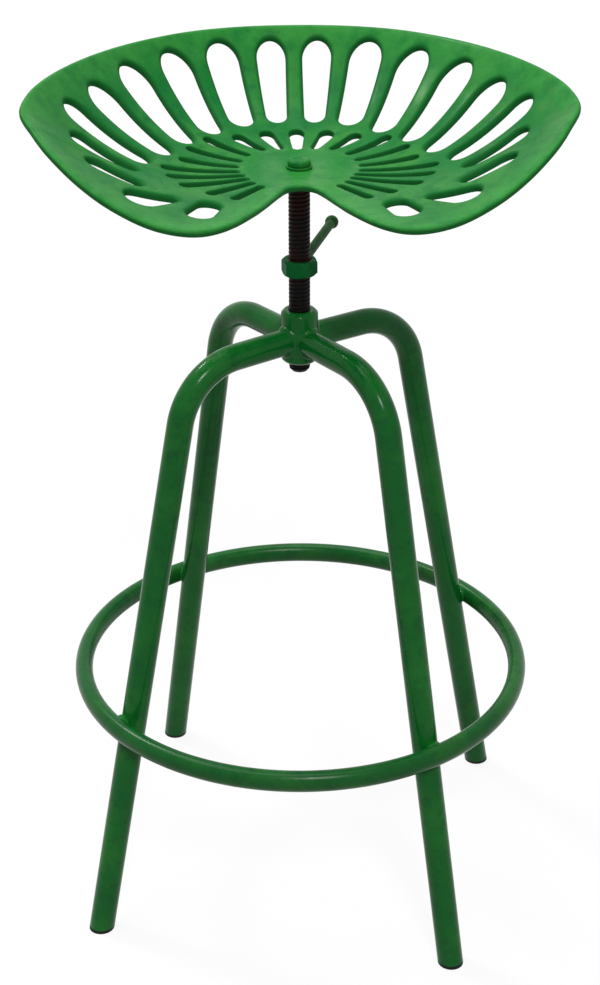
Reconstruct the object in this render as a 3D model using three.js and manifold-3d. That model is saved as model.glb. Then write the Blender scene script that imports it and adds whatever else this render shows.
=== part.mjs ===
// A screw-height stool with a slotted tractor seat, four bent tube legs and a round footrest.
// Millimetres, +Z up. The origin is on the floor, on the axis of the screw, and the seat faces -Y.

import * as THREE from 'three';
import { mergeVertices } from 'three/addons/utils/BufferGeometryUtils.js';
import Module from 'manifold-3d';

const wasm = await Module();
wasm.setup();

// Clearances that every joint and seating shares
const GAP = 0.3;
const OVERRUN = 5;

// Legs: bent steel tubes
const LEG_COUNT = 4;
const LEG_TURN = THREE.MathUtils.degToRad(34.5);
const LEG_NAMES = ['back_right', 'back_left', 'front_left', 'front_right'];
const LEG_RADIUS = 12.5;
const LEG_WALL = 1.5;
const LEG_SPLAY = THREE.MathUtils.degToRad(12.13);
const FOOT_REACH = 249.7;
const ARM_HEIGHT = 580.3;
const ARM_DROP = THREE.MathUtils.degToRad(0.9);
const BEND_RADIUS = 66;
const BEND_STEPS = 9;
const TUBE_SIDES = 20;

// Plugs in the ends of the legs
const PLUG_LIP = 3;
const PLUG_SHANK = 18;
const PLUG_CHAMFER = 1;

// Hub: the boss that the legs are welded to, with the nut thread for the screw
const HUB_RADIUS = 17.5;
const HUB_DROP = 21.8;
const HUB_HEIGHT = 51.5;
const HUB_BOTTOM = ARM_HEIGHT - HUB_DROP;
const HUB_TOP = HUB_BOTTOM + HUB_HEIGHT;
const HUB_CHAMFER = 3;

// Footrest ring: a round tube pressed a little flat
const RING_HEIGHT = 230;
const RING_WIDTH = 17.5;
const RING_DEPTH = 21;
const RING_BITE = 0.8;
const RING_STEPS = 64;
const RING_SIDES = 14;

// Screw, with a trapezoidal thread of 4 mm pitch, drawn here at its outer diameter
const SCREW_RADIUS = 10;
const SCREW_TIP = 10;
const SCREW_BOTTOM = HUB_BOTTOM - SCREW_TIP;
const SCREW_NOSE = 3;
const TAP_RADIUS = 6;
const TAP_DEPTH = 32;

// Lock nut with its lever
const NUT_FLATS = 30;
const NUT_HEIGHT = 14.5;
const NUT_LIFT = 42.5;
const NUT_MIDDLE = HUB_TOP + NUT_LIFT;
const NUT_CHAMFER = 2.4;
const BUSH_WALL = 1;
const LEVER_TURN = THREE.MathUtils.degToRad(74.1);
const LEVER_RADIUS = 4.5;
const LEVER_REACH = 130;
const LEVER_SHANK_RADIUS = 3.5;
const LEVER_SHANK = 2.6;
const BALL_RADIUS = 6.7;
const BALL_SOCKET = 6;

// Seat pan: a slotted steel dish of even thickness
const SEAT_LIFT = 136.5;
const SEAT_CENTRE = HUB_TOP + SEAT_LIFT;
const SEAT_THICKNESS = 6.8;
const SEAT_EDGE = 1.8;
const SEAT_HALF_WIDTH = 238.7;
const SEAT_REACH = 190.6;
const SEAT_RISE = 86;
const SEAT_STEEPNESS = 2.8;
const SEAT_RIM_STEPS = 2;
const SEAT_RINGS = 8;
const SEAT_FLAT_SHARE = 0.14;
const SEAT_RING_SPREAD = 0.75;
const LONG_SLOT_ARC_STEPS = 4;
const SHORT_SLOT_ARC_STEPS = 2;

// Half of the rim from the back to the front notch, on the right side:
// across as a share of the half width, along as a share of the reach, rise as a share of the rise
const RIM_SHARES = [
  [0, 1, 1],
  [0.209, 0.976, 1],
  [0.408, 0.888, 1],
  [0.579, 0.728, 1],
  [0.724, 0.524, 1],
  [0.846, 0.277, 0.995],
  [0.935, 0.041, 0.97],
  [0.985, -0.152, 0.926],
  [1, -0.337, 0.856],
  [0.953, -0.484, 0.76],
  [0.889, -0.62, 0.628],
  [0.786, -0.744, 0.419],
  [0.669, -0.841, 0.236],
  [0.517, -0.926, 0.084],
  [0.378, -0.933, 0.022],
  [0.27, -0.841, 0.012],
  [0.16, -0.616, 0.012],
  [0.052, -0.317, 0.012],
  [0, -0.281, 0.012],
];

// Slots on the right side: angle from the back in degrees at the inner and outer end,
// then the distances of both ends from the screw and both widths, as shares of the reach
const LONG_SLOT_SHARES = [
  [9.3, 7.5, 0.536, 0.953, 0.103, 0.145],
  [26.9, 23.5, 0.54, 0.971, 0.129, 0.165],
  [46.2, 40.5, 0.533, 0.97, 0.128, 0.175],
  [66.4, 58.9, 0.551, 0.982, 0.128, 0.185],
  [84.8, 77.2, 0.602, 1.01, 0.129, 0.185],
  [98.4, 91.3, 0.705, 1.086, 0.115, 0.135],
  [109.8, 102.5, 0.792, 1.069, 0.086, 0.098],
  [122, 115.6, 0.85, 1.065, 0.08, 0.116],
  [134, 132, 0.782, 1.034, 0.054, 0.147],
  [144.2, 146.4, 0.663, 0.888, 0.108, 0.12],
];
const SHORT_SLOT_SHARES = [
  [16.8, 19.6, 0.283, 0.471, 0.037, 0.073],
  [33.4, 38.6, 0.299, 0.483, 0.035, 0.07],
  [54, 57.5, 0.289, 0.535, 0.038, 0.058],
  [73, 75.4, 0.283, 0.551, 0.038, 0.052],
  [89.5, 90.5, 0.286, 0.567, 0.038, 0.052],
  [103, 103.3, 0.289, 0.664, 0.038, 0.054],
  [114.5, 113.7, 0.283, 0.674, 0.038, 0.054],
  [125, 123.8, 0.291, 0.664, 0.038, 0.052],
  [136, 135.4, 0.307, 0.609, 0.036, 0.048],
  [147, 146.8, 0.32, 0.572, 0.036, 0.044],
];
const BACK_SLOT_SHARES = [0, 0, 0.271, 0.465, 0.044, 0.073];

// The flat blank of the seat is dished this much, so that no two of its facets lie in one plane
const BLANK_DISH = 6;
// Distance over which the slope of the seat is measured
const SLOPE_STEP = 0.5;

// Fixing of the seat on the screw
const FLANGE_RADIUS = 22;
const FLANGE_THICKNESS = 5;
const DOWEL_RADIUS = 2.5;
const DOWEL_LENGTH = 7;
const DOWEL_REACH = 16;
const DOWEL_SIDES = 12;
const SEAT_BOLT_RADIUS = 5.5;
const SEAT_BOLT_LENGTH = 30;
const SEAT_HEAD_RADIUS = 10.5;
const SEAT_HEAD_HEIGHT = 6.2;
const SEAT_HEAD_EDGE = 1.2;
const SOCKET_FLATS = 7;
const SOCKET_DEPTH = 3.5;
const WASHER_RADIUS = 12;
const WASHER_THICKNESS = 2;

const ROUND_SIDES = 28;
const FULL_TURN = 2 * Math.PI;

const paint = { roughness: 0.35, metalness: 0 };
const MATERIALS = {
  frame: new THREE.MeshStandardMaterial({ color: 0x15622f, ...paint }),
  seat: new THREE.MeshStandardMaterial({ color: 0x2c8c43, roughness: 0.42, metalness: 0 }),
  thread: new THREE.MeshStandardMaterial({ color: 0x1c1718, roughness: 0.45, metalness: 0.7 }),
  plug: new THREE.MeshStandardMaterial({ color: 0x141614, roughness: 0.6, metalness: 0 }),
};

// Solids and meshes

function weld(geometry) {
  const bare = geometry.clone();
  bare.deleteAttribute('normal');
  bare.deleteAttribute('uv');
  return mergeVertices(bare);
}

function toSolid(geometry) {
  const welded = weld(geometry);
  return new wasm.Manifold(new wasm.Mesh({
    numProp: 3,
    vertProperties: new Float32Array(welded.attributes.position.array),
    triVerts: new Uint32Array(welded.index.array),
  }));
}

function toGeometry(solid) {
  const mesh = solid.getMesh();
  const geometry = new THREE.BufferGeometry();
  geometry.setAttribute('position', new THREE.BufferAttribute(new Float32Array(mesh.vertProperties), 3));
  geometry.setIndex(new THREE.BufferAttribute(new Uint32Array(mesh.triVerts), 1));
  return geometry;
}

function piece(name, geometry, material) {
  const faces = weld(geometry);
  faces.computeVertexNormals();
  const mesh = new THREE.Mesh(faces, MATERIALS[material]);
  mesh.name = name;
  return mesh;
}

// A body turned round +Z: the profile is a list of [radius, height]
function turned(profile, sides = ROUND_SIDES) {
  const points = profile.map(([radius, height]) => new THREE.Vector2(radius, height));
  return new THREE.LatheGeometry(points, sides).rotateX(Math.PI / 2);
}

// A turned body with a through bore: its profile closes on itself
function turnedRing(profile, sides = ROUND_SIDES) {
  return turned([...profile, profile[0]], sides);
}

// An upright round bar between two heights
function bar(radius, bottom, top, sides = ROUND_SIDES) {
  const height = top - bottom;
  return new THREE.CylinderGeometry(radius, radius, height, sides)
    .rotateX(Math.PI / 2)
    .translate(0, 0, bottom + height / 2);
}

// A hexagonal bar between two heights, with flats facing +X and -X
function hexBar(flats, bottom, top) {
  return bar(flats / Math.sqrt(3), bottom, top, 6);
}

// Legs, in the plane Y = 0 before each is turned to its place

const ARM_TOP_REACH = HUB_RADIUS;
const legDown = new THREE.Vector3(Math.sin(LEG_SPLAY), 0, -Math.cos(LEG_SPLAY));
const armOut = new THREE.Vector3(Math.cos(ARM_DROP), 0, -Math.sin(ARM_DROP));
const legFoot = new THREE.Vector3(FOOT_REACH, 0, 0);

// Distance of the leg's axis from the screw at a height on its straight part
function legReach(height) {
  return FOOT_REACH - height * Math.tan(LEG_SPLAY);
}

// Where the lines of the arm and of the straight leg would meet
function legCorner() {
  const armStart = new THREE.Vector3(ARM_TOP_REACH, 0, ARM_HEIGHT);
  const cross = armOut.x * legDown.z - armOut.z * legDown.x;
  const away = legFoot.clone().sub(armStart);
  const along = (away.x * legDown.z - away.z * legDown.x) / cross;
  return armStart.addScaledVector(armOut, along);
}

// Points of the leg's axis: level arm, bend and straight leg
function legPoints() {
  const corner = legCorner();
  const bend = Math.acos(armOut.dot(legDown));
  const tangent = BEND_RADIUS * Math.tan(bend / 2);
  const bendStart = corner.clone().addScaledVector(armOut, -tangent);
  const side = new THREE.Vector3(armOut.z, 0, -armOut.x);
  const centre = bendStart.clone().addScaledVector(side, BEND_RADIUS);
  const points = [new THREE.Vector3(OVERRUN, 0, ARM_HEIGHT)];
  for (let step = 0; step <= BEND_STEPS; step += 1) {
    const angle = (bend * step) / BEND_STEPS;
    const spoke = bendStart.clone().sub(centre).applyAxisAngle(new THREE.Vector3(0, 1, 0), angle);
    points.push(centre.clone().add(spoke));
  }
  points.push(legFoot.clone().addScaledVector(legDown, OVERRUN));
  return points;
}

// A path that passes through each of its points at even steps of its parameter
class StationCurve extends THREE.Curve {
  constructor(points) {
    super();
    this.points = points;
  }

  getUtoTmapping(share) {
    return share;
  }

  getPoint(share) {
    const last = this.points.length - 1;
    const index = Math.min(Math.floor(share * last), last - 1);
    return this.points[index].clone().lerp(this.points[index + 1], share * last - index);
  }
}

function tubeSection(outer, inner) {
  const section = new THREE.Shape().absarc(0, 0, outer, 0, FULL_TURN);
  section.holes.push(new THREE.Path().absarc(0, 0, inner, 0, FULL_TURN, true));
  return section;
}

function legTube() {
  const points = legPoints();
  const tube = new THREE.ExtrudeGeometry(tubeSection(LEG_RADIUS, LEG_RADIUS - LEG_WALL), {
    extrudePath: new StationCurve(points),
    steps: points.length - 1,
    curveSegments: TUBE_SIDES / 2,
  });
  const cope = bar(HUB_RADIUS + GAP, HUB_BOTTOM - OVERRUN, HUB_TOP + OVERRUN, 2 * ROUND_SIDES);
  return toGeometry(toSolid(tube).subtract(toSolid(cope)).subtract(footBlock(-2 * LEG_RADIUS, PLUG_LIP + GAP)));
}

// A block round the foot between two heights
function footBlock(bottom, top) {
  const size = 4 * LEG_RADIUS;
  return toSolid(new THREE.BoxGeometry(size, size, top - bottom).translate(FOOT_REACH, 0, (bottom + top) / 2));
}

// A round bar on the leg's axis, between two distances up from the floor
function barOnLeg(radius, start, end, sides = TUBE_SIDES) {
  return bar(radius, start, end, sides)
    .rotateY(-LEG_SPLAY)
    .translate(FOOT_REACH, 0, 0);
}

function footPlug() {
  const lip = toSolid(barOnLeg(LEG_RADIUS, -OVERRUN, 2 * LEG_RADIUS)).intersect(footBlock(0, PLUG_LIP));
  const shankRadius = LEG_RADIUS - LEG_WALL - GAP;
  const shank = turned([
    [0, PLUG_LIP / 2],
    [shankRadius, PLUG_LIP / 2],
    [shankRadius, PLUG_SHANK - PLUG_CHAMFER],
    [shankRadius - PLUG_CHAMFER, PLUG_SHANK],
    [0, PLUG_SHANK],
  ], TUBE_SIDES).rotateY(-LEG_SPLAY).translate(FOOT_REACH, 0, 0);
  return toGeometry(lip.add(toSolid(shank).subtract(footBlock(-2 * LEG_RADIUS, PLUG_LIP / 2))));
}

// Hub, footrest and screw

function hub() {
  const bore = SCREW_RADIUS + GAP;
  return turnedRing([
    [bore, HUB_BOTTOM],
    [HUB_RADIUS - HUB_CHAMFER, HUB_BOTTOM],
    [HUB_RADIUS, HUB_BOTTOM + HUB_CHAMFER],
    [HUB_RADIUS, HUB_TOP - HUB_CHAMFER],
    [HUB_RADIUS - HUB_CHAMFER, HUB_TOP],
    [bore, HUB_TOP],
  ]);
}

function footrestRing() {
  const legOuter = legReach(RING_HEIGHT) + LEG_RADIUS / Math.cos(LEG_SPLAY);
  const middle = legOuter + RING_WIDTH / 2 - RING_BITE;
  const profile = [];
  for (let side = 0; side < RING_SIDES; side += 1) {
    const angle = (FULL_TURN * side) / RING_SIDES;
    profile.push([
      middle + (RING_WIDTH / 2) * Math.cos(angle),
      RING_HEIGHT + (RING_DEPTH / 2) * Math.sin(angle),
    ]);
  }
  let ring = toSolid(turnedRing(profile, RING_STEPS));
  const low = RING_HEIGHT - RING_DEPTH;
  const high = RING_HEIGHT + RING_DEPTH;
  for (let leg = 0; leg < LEG_COUNT; leg += 1) {
    const saddle = barOnLeg(LEG_RADIUS + GAP, low, high, 2 * TUBE_SIDES)
      .rotateZ(legAngle(leg));
    ring = ring.subtract(toSolid(saddle));
  }
  return toGeometry(ring);
}

function legAngle(leg) {
  return LEG_TURN + (FULL_TURN * leg) / LEG_COUNT;
}

const FLANGE_TOP = SEAT_CENTRE - SEAT_THICKNESS - GAP;
const FLANGE_BOTTOM = FLANGE_TOP - FLANGE_THICKNESS;

function screw() {
  return turned([
    [0, SCREW_BOTTOM],
    [SCREW_RADIUS - SCREW_NOSE, SCREW_BOTTOM],
    [SCREW_RADIUS, SCREW_BOTTOM + SCREW_NOSE],
    [SCREW_RADIUS, FLANGE_TOP],
    [TAP_RADIUS, FLANGE_TOP],
    [TAP_RADIUS, FLANGE_TOP - TAP_DEPTH],
    [0, FLANGE_TOP - TAP_DEPTH],
  ]);
}

// Lock nut, drawn at its own middle, with the lever along +X

function lockNut() {
  const corner = NUT_FLATS / Math.sqrt(3);
  const half = NUT_HEIGHT / 2;
  const blank = toSolid(hexBar(NUT_FLATS, -half, half));
  const chamfered = toSolid(turned([
    [0, -half],
    [corner - NUT_CHAMFER, -half],
    [corner, NUT_CHAMFER - half],
    [corner, half - NUT_CHAMFER],
    [corner - NUT_CHAMFER, half],
    [0, half],
  ], 2 * ROUND_SIDES));
  const bore = SCREW_RADIUS + GAP + BUSH_WALL + GAP;
  const socket = bar(LEVER_SHANK_RADIUS + GAP, NUT_FLATS / 2 - LEVER_SHANK - GAP, NUT_FLATS)
    .rotateY(Math.PI / 2);
  return toGeometry(
    blank.intersect(chamfered)
      .subtract(toSolid(bar(bore, -NUT_HEIGHT, NUT_HEIGHT)))
      .subtract(toSolid(socket)),
  );
}

function nutBush() {
  const bore = SCREW_RADIUS + GAP;
  const half = NUT_HEIGHT / 2 - GAP;
  return turnedRing([[bore, -half], [bore + BUSH_WALL, -half], [bore + BUSH_WALL, half], [bore, half]]);
}

function lever() {
  const flat = NUT_FLATS / 2;
  const end = LEVER_REACH - BALL_RADIUS + BALL_SOCKET;
  return turned([
    [0, flat - LEVER_SHANK],
    [LEVER_SHANK_RADIUS, flat - LEVER_SHANK],
    [LEVER_SHANK_RADIUS, flat + GAP],
    [LEVER_RADIUS, flat + GAP],
    [LEVER_RADIUS, LEVER_REACH - BALL_RADIUS - GAP],
    [LEVER_SHANK_RADIUS, LEVER_REACH - BALL_RADIUS - GAP],
    [LEVER_SHANK_RADIUS, end],
    [0, end],
  ], TUBE_SIDES).rotateY(Math.PI / 2);
}

function leverBall() {
  const ball = new THREE.SphereGeometry(BALL_RADIUS, TUBE_SIDES, TUBE_SIDES / 2).rotateZ(Math.PI / 2);
  const socket = bar(LEVER_SHANK_RADIUS + GAP, -2 * BALL_RADIUS, BALL_SOCKET - BALL_RADIUS + GAP, TUBE_SIDES)
    .rotateY(Math.PI / 2);
  return toGeometry(toSolid(ball).subtract(toSolid(socket))).translate(LEVER_REACH, 0, 0);
}

// Seat pan

function rimCurve() {
  const right = RIM_SHARES.map(([across, along, rise]) => new THREE.Vector3(
    across * SEAT_HALF_WIDTH,
    along * SEAT_REACH,
    rise * SEAT_RISE,
  ));
  const left = right.slice(1, -1).reverse().map((point) => new THREE.Vector3(-point.x, point.y, point.z));
  return new THREE.CatmullRomCurve3([...right, ...left], true, 'centripetal');
}

// Points of the rim, so many for each interval between its given points
function rimPoints(stepsEach) {
  const curve = rimCurve();
  return curve.getPoints(curve.points.length * stepsEach).slice(0, -1);
}

// The rim as a fine list of direction, reach and rise, in the order of direction from the back
const rimSamples = rimPoints(8 * SEAT_RIM_STEPS).map((point) => ({
  angle: Math.atan2(point.x, point.y),
  reach: Math.hypot(point.x, point.y),
  rise: point.z,
})).sort((first, second) => first.angle - second.angle);

function rimAt(angle) {
  const count = rimSamples.length;
  const next = Math.max(rimSamples.findIndex((sample) => sample.angle > angle), 0);
  const before = rimSamples[(next + count - 1) % count];
  const after = rimSamples[next];
  const span = (after.angle - before.angle + FULL_TURN) % FULL_TURN;
  const share = ((angle - before.angle + FULL_TURN) % FULL_TURN) / span;
  return {
    reach: THREE.MathUtils.lerp(before.reach, after.reach, share),
    rise: THREE.MathUtils.lerp(before.rise, after.rise, share),
  };
}

// Height of the seat's top face over a place in plan
function seatHeight(x, y) {
  const rim = rimAt(Math.atan2(x, y));
  return SEAT_CENTRE + rim.rise * (Math.hypot(x, y) / rim.reach) ** SEAT_STEEPNESS;
}

// The unit vector square to the top face
function seatNormal(x, y) {
  const slopeX = (seatHeight(x + SLOPE_STEP, y) - seatHeight(x - SLOPE_STEP, y)) / (2 * SLOPE_STEP);
  const slopeY = (seatHeight(x, y + SLOPE_STEP) - seatHeight(x, y - SLOPE_STEP)) / (2 * SLOPE_STEP);
  return new THREE.Vector3(-slopeX, -slopeY, 1).normalize();
}

function blankHeight(x, y) {
  return BLANK_DISH * (Math.hypot(x, y) / SEAT_REACH) ** 2;
}

// Share of the way from the screw to the rim at which a ring of the blank's points lies
function ringShare(ring) {
  return SEAT_FLAT_SHARE + (1 - SEAT_FLAT_SHARE) * ((ring - 1) / (SEAT_RINGS - 1)) ** SEAT_RING_SPREAD;
}

// Depths below the top face at which the blank has points: both faces and both edges of the rim wall
const DEPTHS = [0, SEAT_EDGE, SEAT_THICKNESS - SEAT_EDGE, SEAT_THICKNESS];

// The loops of the blank from the middle of the top, over the rim, to the middle of the bottom
function blankLoops() {
  const rim = rimPoints(SEAT_RIM_STEPS);
  const loops = [];
  const addLoop = (share, inset, depth) => loops.push(rim.map((point) => {
    const inner = share - inset / Math.hypot(point.x, point.y);
    const x = point.x * inner;
    const y = point.y * inner;
    return [x, y, blankHeight(x, y) - depth];
  }));
  for (let ring = 1; ring < SEAT_RINGS; ring += 1) addLoop(ringShare(ring), 0, 0);
  for (const depth of DEPTHS) {
    const onFace = depth === 0 || depth === SEAT_THICKNESS;
    addLoop(1, onFace ? SEAT_EDGE : 0, depth);
  }
  for (let ring = SEAT_RINGS - 1; ring > 0; ring -= 1) addLoop(ringShare(ring), 0, SEAT_THICKNESS);
  return loops;
}

// The seat's outline in plan as a nearly flat plate of the seat's thickness
function seatBlank() {
  const loops = blankLoops();
  const count = loops[0].length;
  const indices = [];
  const bottomCentre = loops.length * count + 1;
  for (let step = 0; step < count; step += 1) {
    const next = (step + 1) % count;
    indices.push(0, 1 + next, 1 + step);
    for (let loop = 0; loop < loops.length - 1; loop += 1) {
      const inner = 1 + loop * count;
      const outer = inner + count;
      indices.push(inner + step, inner + next, outer + step);
      indices.push(inner + next, outer + next, outer + step);
    }
    const last = 1 + (loops.length - 1) * count;
    indices.push(bottomCentre, last + step, last + next);
  }
  const points = [[0, 0, 0], ...loops.flat(), [0, 0, -SEAT_THICKNESS]];
  const geometry = new THREE.BufferGeometry();
  geometry.setAttribute('position', new THREE.BufferAttribute(new Float32Array(points.flat()), 3));
  geometry.setIndex(indices);
  return geometry;
}

// A tapered slot with round ends, from its table row, on the side that the sign gives
function slotCutter([innerAngle, outerAngle, innerShare, outerShare, innerWidthShare, outerWidthShare], sign, steps) {
  const innerRadius = (innerWidthShare * SEAT_REACH) / 2;
  const outerRadius = (outerWidthShare * SEAT_REACH) / 2;
  const place = (angle, reach) => {
    const radians = THREE.MathUtils.degToRad(angle);
    return new THREE.Vector2(sign * Math.sin(radians), Math.cos(radians)).multiplyScalar(reach);
  };
  const inner = place(innerAngle, innerShare * SEAT_REACH + innerRadius);
  const outer = place(outerAngle, outerShare * SEAT_REACH - outerRadius);
  const axis = outer.clone().sub(inner);
  const outline = new THREE.Shape();
  outline.absarc(0, 0, innerRadius, Math.PI / 2, (3 * Math.PI) / 2);
  outline.absarc(axis.length(), 0, outerRadius, -Math.PI / 2, Math.PI / 2);
  const top = 4 * BLANK_DISH;
  return toSolid(new THREE.ExtrudeGeometry(outline, {
    depth: 2 * top,
    bevelEnabled: false,
    curveSegments: steps,
  }).rotateZ(axis.angle()).translate(inner.x, inner.y, -top));
}

// Each point of the slotted blank goes to the dished seat, so that every slot wall is square to it
function formSeat(geometry) {
  const position = geometry.attributes.position;
  for (let index = 0; index < position.count; index += 1) {
    const x = position.getX(index);
    const y = position.getY(index);
    const measured = blankHeight(x, y) - position.getZ(index);
    const error = (depth) => Math.abs(depth - measured);
    const depth = DEPTHS.reduce((best, next) => (error(next) < error(best) ? next : best));
    const point = new THREE.Vector3(x, y, seatHeight(x, y)).addScaledVector(seatNormal(x, y), -depth);
    position.setXYZ(index, point.x, point.y, point.z);
  }
  return geometry;
}

function seatPan() {
  let blank = toSolid(seatBlank());
  for (const side of [1, -1]) {
    for (const slot of LONG_SLOT_SHARES) {
      blank = blank.subtract(slotCutter(slot, side, LONG_SLOT_ARC_STEPS));
    }
    for (const slot of SHORT_SLOT_SHARES) {
      blank = blank.subtract(slotCutter(slot, side, SHORT_SLOT_ARC_STEPS));
    }
  }
  blank = blank.subtract(slotCutter(BACK_SLOT_SHARES, 1, SHORT_SLOT_ARC_STEPS));
  const formed = toSolid(formSeat(toGeometry(blank)));
  const bottom = SEAT_CENTRE - 2 * SEAT_THICKNESS;
  const bore = bar(SEAT_BOLT_RADIUS + GAP, bottom, SEAT_CENTRE + SEAT_THICKNESS, TUBE_SIDES);
  const dowelHole = bar(DOWEL_RADIUS + GAP, bottom, dowelTop() + GAP, DOWEL_SIDES).translate(0, DOWEL_REACH, 0);
  return toGeometry(formed.subtract(toSolid(bore)).subtract(toSolid(dowelHole)));
}

// Seat fixing

function dowelTop() {
  return FLANGE_TOP + GAP + SEAT_THICKNESS / 2;
}

function flange() {
  const disc = turnedRing([
    [SCREW_RADIUS + GAP, FLANGE_BOTTOM],
    [FLANGE_RADIUS, FLANGE_BOTTOM],
    [FLANGE_RADIUS, FLANGE_TOP],
    [SCREW_RADIUS + GAP, FLANGE_TOP],
  ]);
  const hole = bar(DOWEL_RADIUS + GAP, FLANGE_BOTTOM - OVERRUN, FLANGE_TOP + OVERRUN, DOWEL_SIDES)
    .translate(0, DOWEL_REACH, 0);
  return toGeometry(toSolid(disc).subtract(toSolid(hole)));
}

function dowel() {
  return bar(DOWEL_RADIUS, dowelTop() - DOWEL_LENGTH, dowelTop(), DOWEL_SIDES).translate(0, DOWEL_REACH, 0);
}

function washer() {
  const bottom = SEAT_CENTRE + GAP;
  const bore = SEAT_BOLT_RADIUS + GAP;
  return turnedRing([
    [bore, bottom],
    [WASHER_RADIUS, bottom],
    [WASHER_RADIUS, bottom + WASHER_THICKNESS],
    [bore, bottom + WASHER_THICKNESS],
  ]);
}

function seatBolt() {
  const under = SEAT_CENTRE + GAP + WASHER_THICKNESS + GAP;
  const profile = [
    [0, under - SEAT_BOLT_LENGTH],
    [SEAT_BOLT_RADIUS, under - SEAT_BOLT_LENGTH],
    [SEAT_BOLT_RADIUS, under],
    [SEAT_HEAD_RADIUS, under],
    [SEAT_HEAD_RADIUS, under + SEAT_HEAD_EDGE],
  ];
  const domeSteps = 5;
  for (let step = 1; step <= domeSteps; step += 1) {
    const angle = (Math.PI / 2) * (step / domeSteps);
    profile.push([
      step === domeSteps ? 0 : SEAT_HEAD_RADIUS * Math.cos(angle),
      under + SEAT_HEAD_EDGE + (SEAT_HEAD_HEIGHT - SEAT_HEAD_EDGE) * Math.sin(angle),
    ]);
  }
  const top = under + SEAT_HEAD_HEIGHT;
  const socket = hexBar(SOCKET_FLATS, top - SOCKET_DEPTH, top + OVERRUN);
  return toGeometry(toSolid(turned(profile)).subtract(toSolid(socket)));
}

// The stool

const stool = new THREE.Group();
stool.name = 'tractor_seat_stool';

const legGeometry = legTube();
const plugGeometry = footPlug();
for (let leg = 0; leg < LEG_COUNT; leg += 1) {
  const corner = new THREE.Group();
  corner.rotation.z = legAngle(leg);
  corner.add(piece(`leg_${LEG_NAMES[leg]}`, legGeometry, 'frame'));
  corner.add(piece(`foot_plug_${LEG_NAMES[leg]}`, plugGeometry, 'plug'));
  stool.add(corner);
}
stool.add(piece('hub', hub(), 'frame'));
stool.add(piece('footrest_ring', footrestRing(), 'frame'));

const nut = new THREE.Group();
nut.position.z = NUT_MIDDLE;
nut.rotation.z = LEVER_TURN;
nut.add(piece('lock_nut', lockNut(), 'frame'));
nut.add(piece('lock_nut_bush', nutBush(), 'thread'));
nut.add(piece('lock_lever', lever(), 'frame'));
nut.add(piece('lever_ball', leverBall(), 'frame'));
stool.add(nut);

stool.add(piece('screw', screw(), 'thread'));
stool.add(piece('seat_flange', flange(), 'frame'));
stool.add(piece('seat_dowel', dowel(), 'thread'));
stool.add(piece('seat_pan', seatPan(), 'seat'));
stool.add(piece('seat_washer', washer(), 'seat'));
stool.add(piece('seat_bolt', seatBolt(), 'seat'));

export default stool;
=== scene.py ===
# %% [markdown]
# # A screw-height stool with a slotted tractor seat
# The stool is a dished steel seat on a black trapezoidal screw. The screw turns in a hub, and
# four bent tube legs and a round footrest carry the hub. The solids of every piece, with their
# joints, come in as a fixed frame. This script only dresses them: where a solid is too plain for
# a close look, a finer mesh takes its place, and every piece gets a painted or blackened finish.
# All lengths are in metres, +Z is up and the seat's notch faces -Y.

# %% Load the fixed frame
import math
from functools import partial

import bmesh
import bpy
import numpy as np
from mathutils import Matrix, Vector
from mathutils.geometry import delaunay_2d_cdt


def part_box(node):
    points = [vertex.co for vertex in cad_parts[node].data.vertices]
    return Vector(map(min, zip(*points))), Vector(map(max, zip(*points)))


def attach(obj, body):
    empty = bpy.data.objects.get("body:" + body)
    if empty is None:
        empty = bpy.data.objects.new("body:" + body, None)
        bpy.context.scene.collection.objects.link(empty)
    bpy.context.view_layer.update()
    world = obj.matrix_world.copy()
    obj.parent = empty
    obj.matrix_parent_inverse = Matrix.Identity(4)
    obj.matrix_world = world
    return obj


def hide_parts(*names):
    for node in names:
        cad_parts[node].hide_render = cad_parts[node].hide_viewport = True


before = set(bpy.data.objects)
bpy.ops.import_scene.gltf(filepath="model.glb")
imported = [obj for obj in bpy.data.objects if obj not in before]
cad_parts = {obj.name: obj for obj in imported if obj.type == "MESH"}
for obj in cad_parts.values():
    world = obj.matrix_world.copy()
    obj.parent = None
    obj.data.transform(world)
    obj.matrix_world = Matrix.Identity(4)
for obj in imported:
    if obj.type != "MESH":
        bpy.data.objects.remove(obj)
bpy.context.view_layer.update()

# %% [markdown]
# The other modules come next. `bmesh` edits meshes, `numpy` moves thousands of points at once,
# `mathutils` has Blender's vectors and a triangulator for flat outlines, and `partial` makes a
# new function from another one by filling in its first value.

FULL_TURN = 2 * math.pi
SMOOTH_ANGLE = math.radians(38)

# %% [markdown]
# Every mesh made below ends in the same steps: a mesh from points and faces, all faces turned
# outwards, smooth shading with sharp edges kept, a material, and a body to ride on. One function
# does them, and it hides the plain solid that the new piece stands for.


# %% From points and faces to a piece that rides
def place_object(name, data):
    holder = bpy.data.objects.new(name, data)
    bpy.context.scene.collection.objects.link(holder)
    return holder


def face_outwards(mesh):
    edited = bmesh.new()
    edited.from_mesh(mesh)
    bmesh.ops.recalc_face_normals(edited, faces=edited.faces)
    edited.to_mesh(mesh)
    edited.free()


def add_piece(name, points, faces, material, body, slot, replaces=()):
    mesh = bpy.data.meshes.new(name)
    mesh.from_pydata([tuple(point) for point in points], [], faces)
    face_outwards(mesh)
    mesh.materials.append(material)
    mesh.shade_smooth()
    mesh.set_sharp_from_angle(angle=SMOOTH_ANGLE)
    piece = place_object(name, mesh)
    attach(piece, body)
    if replaces:
        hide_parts(*replaces)
    print(name, len(mesh.vertices), "points")
    return piece


# %% [markdown]
# A tube, a bead or a turned part is a row of rings, each with the same number of points. Faces
# between neighbouring rings are always made the same way, so this is written once. A closed row
# joins its last ring to its first, and a capped row gets a face on each end.


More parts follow.
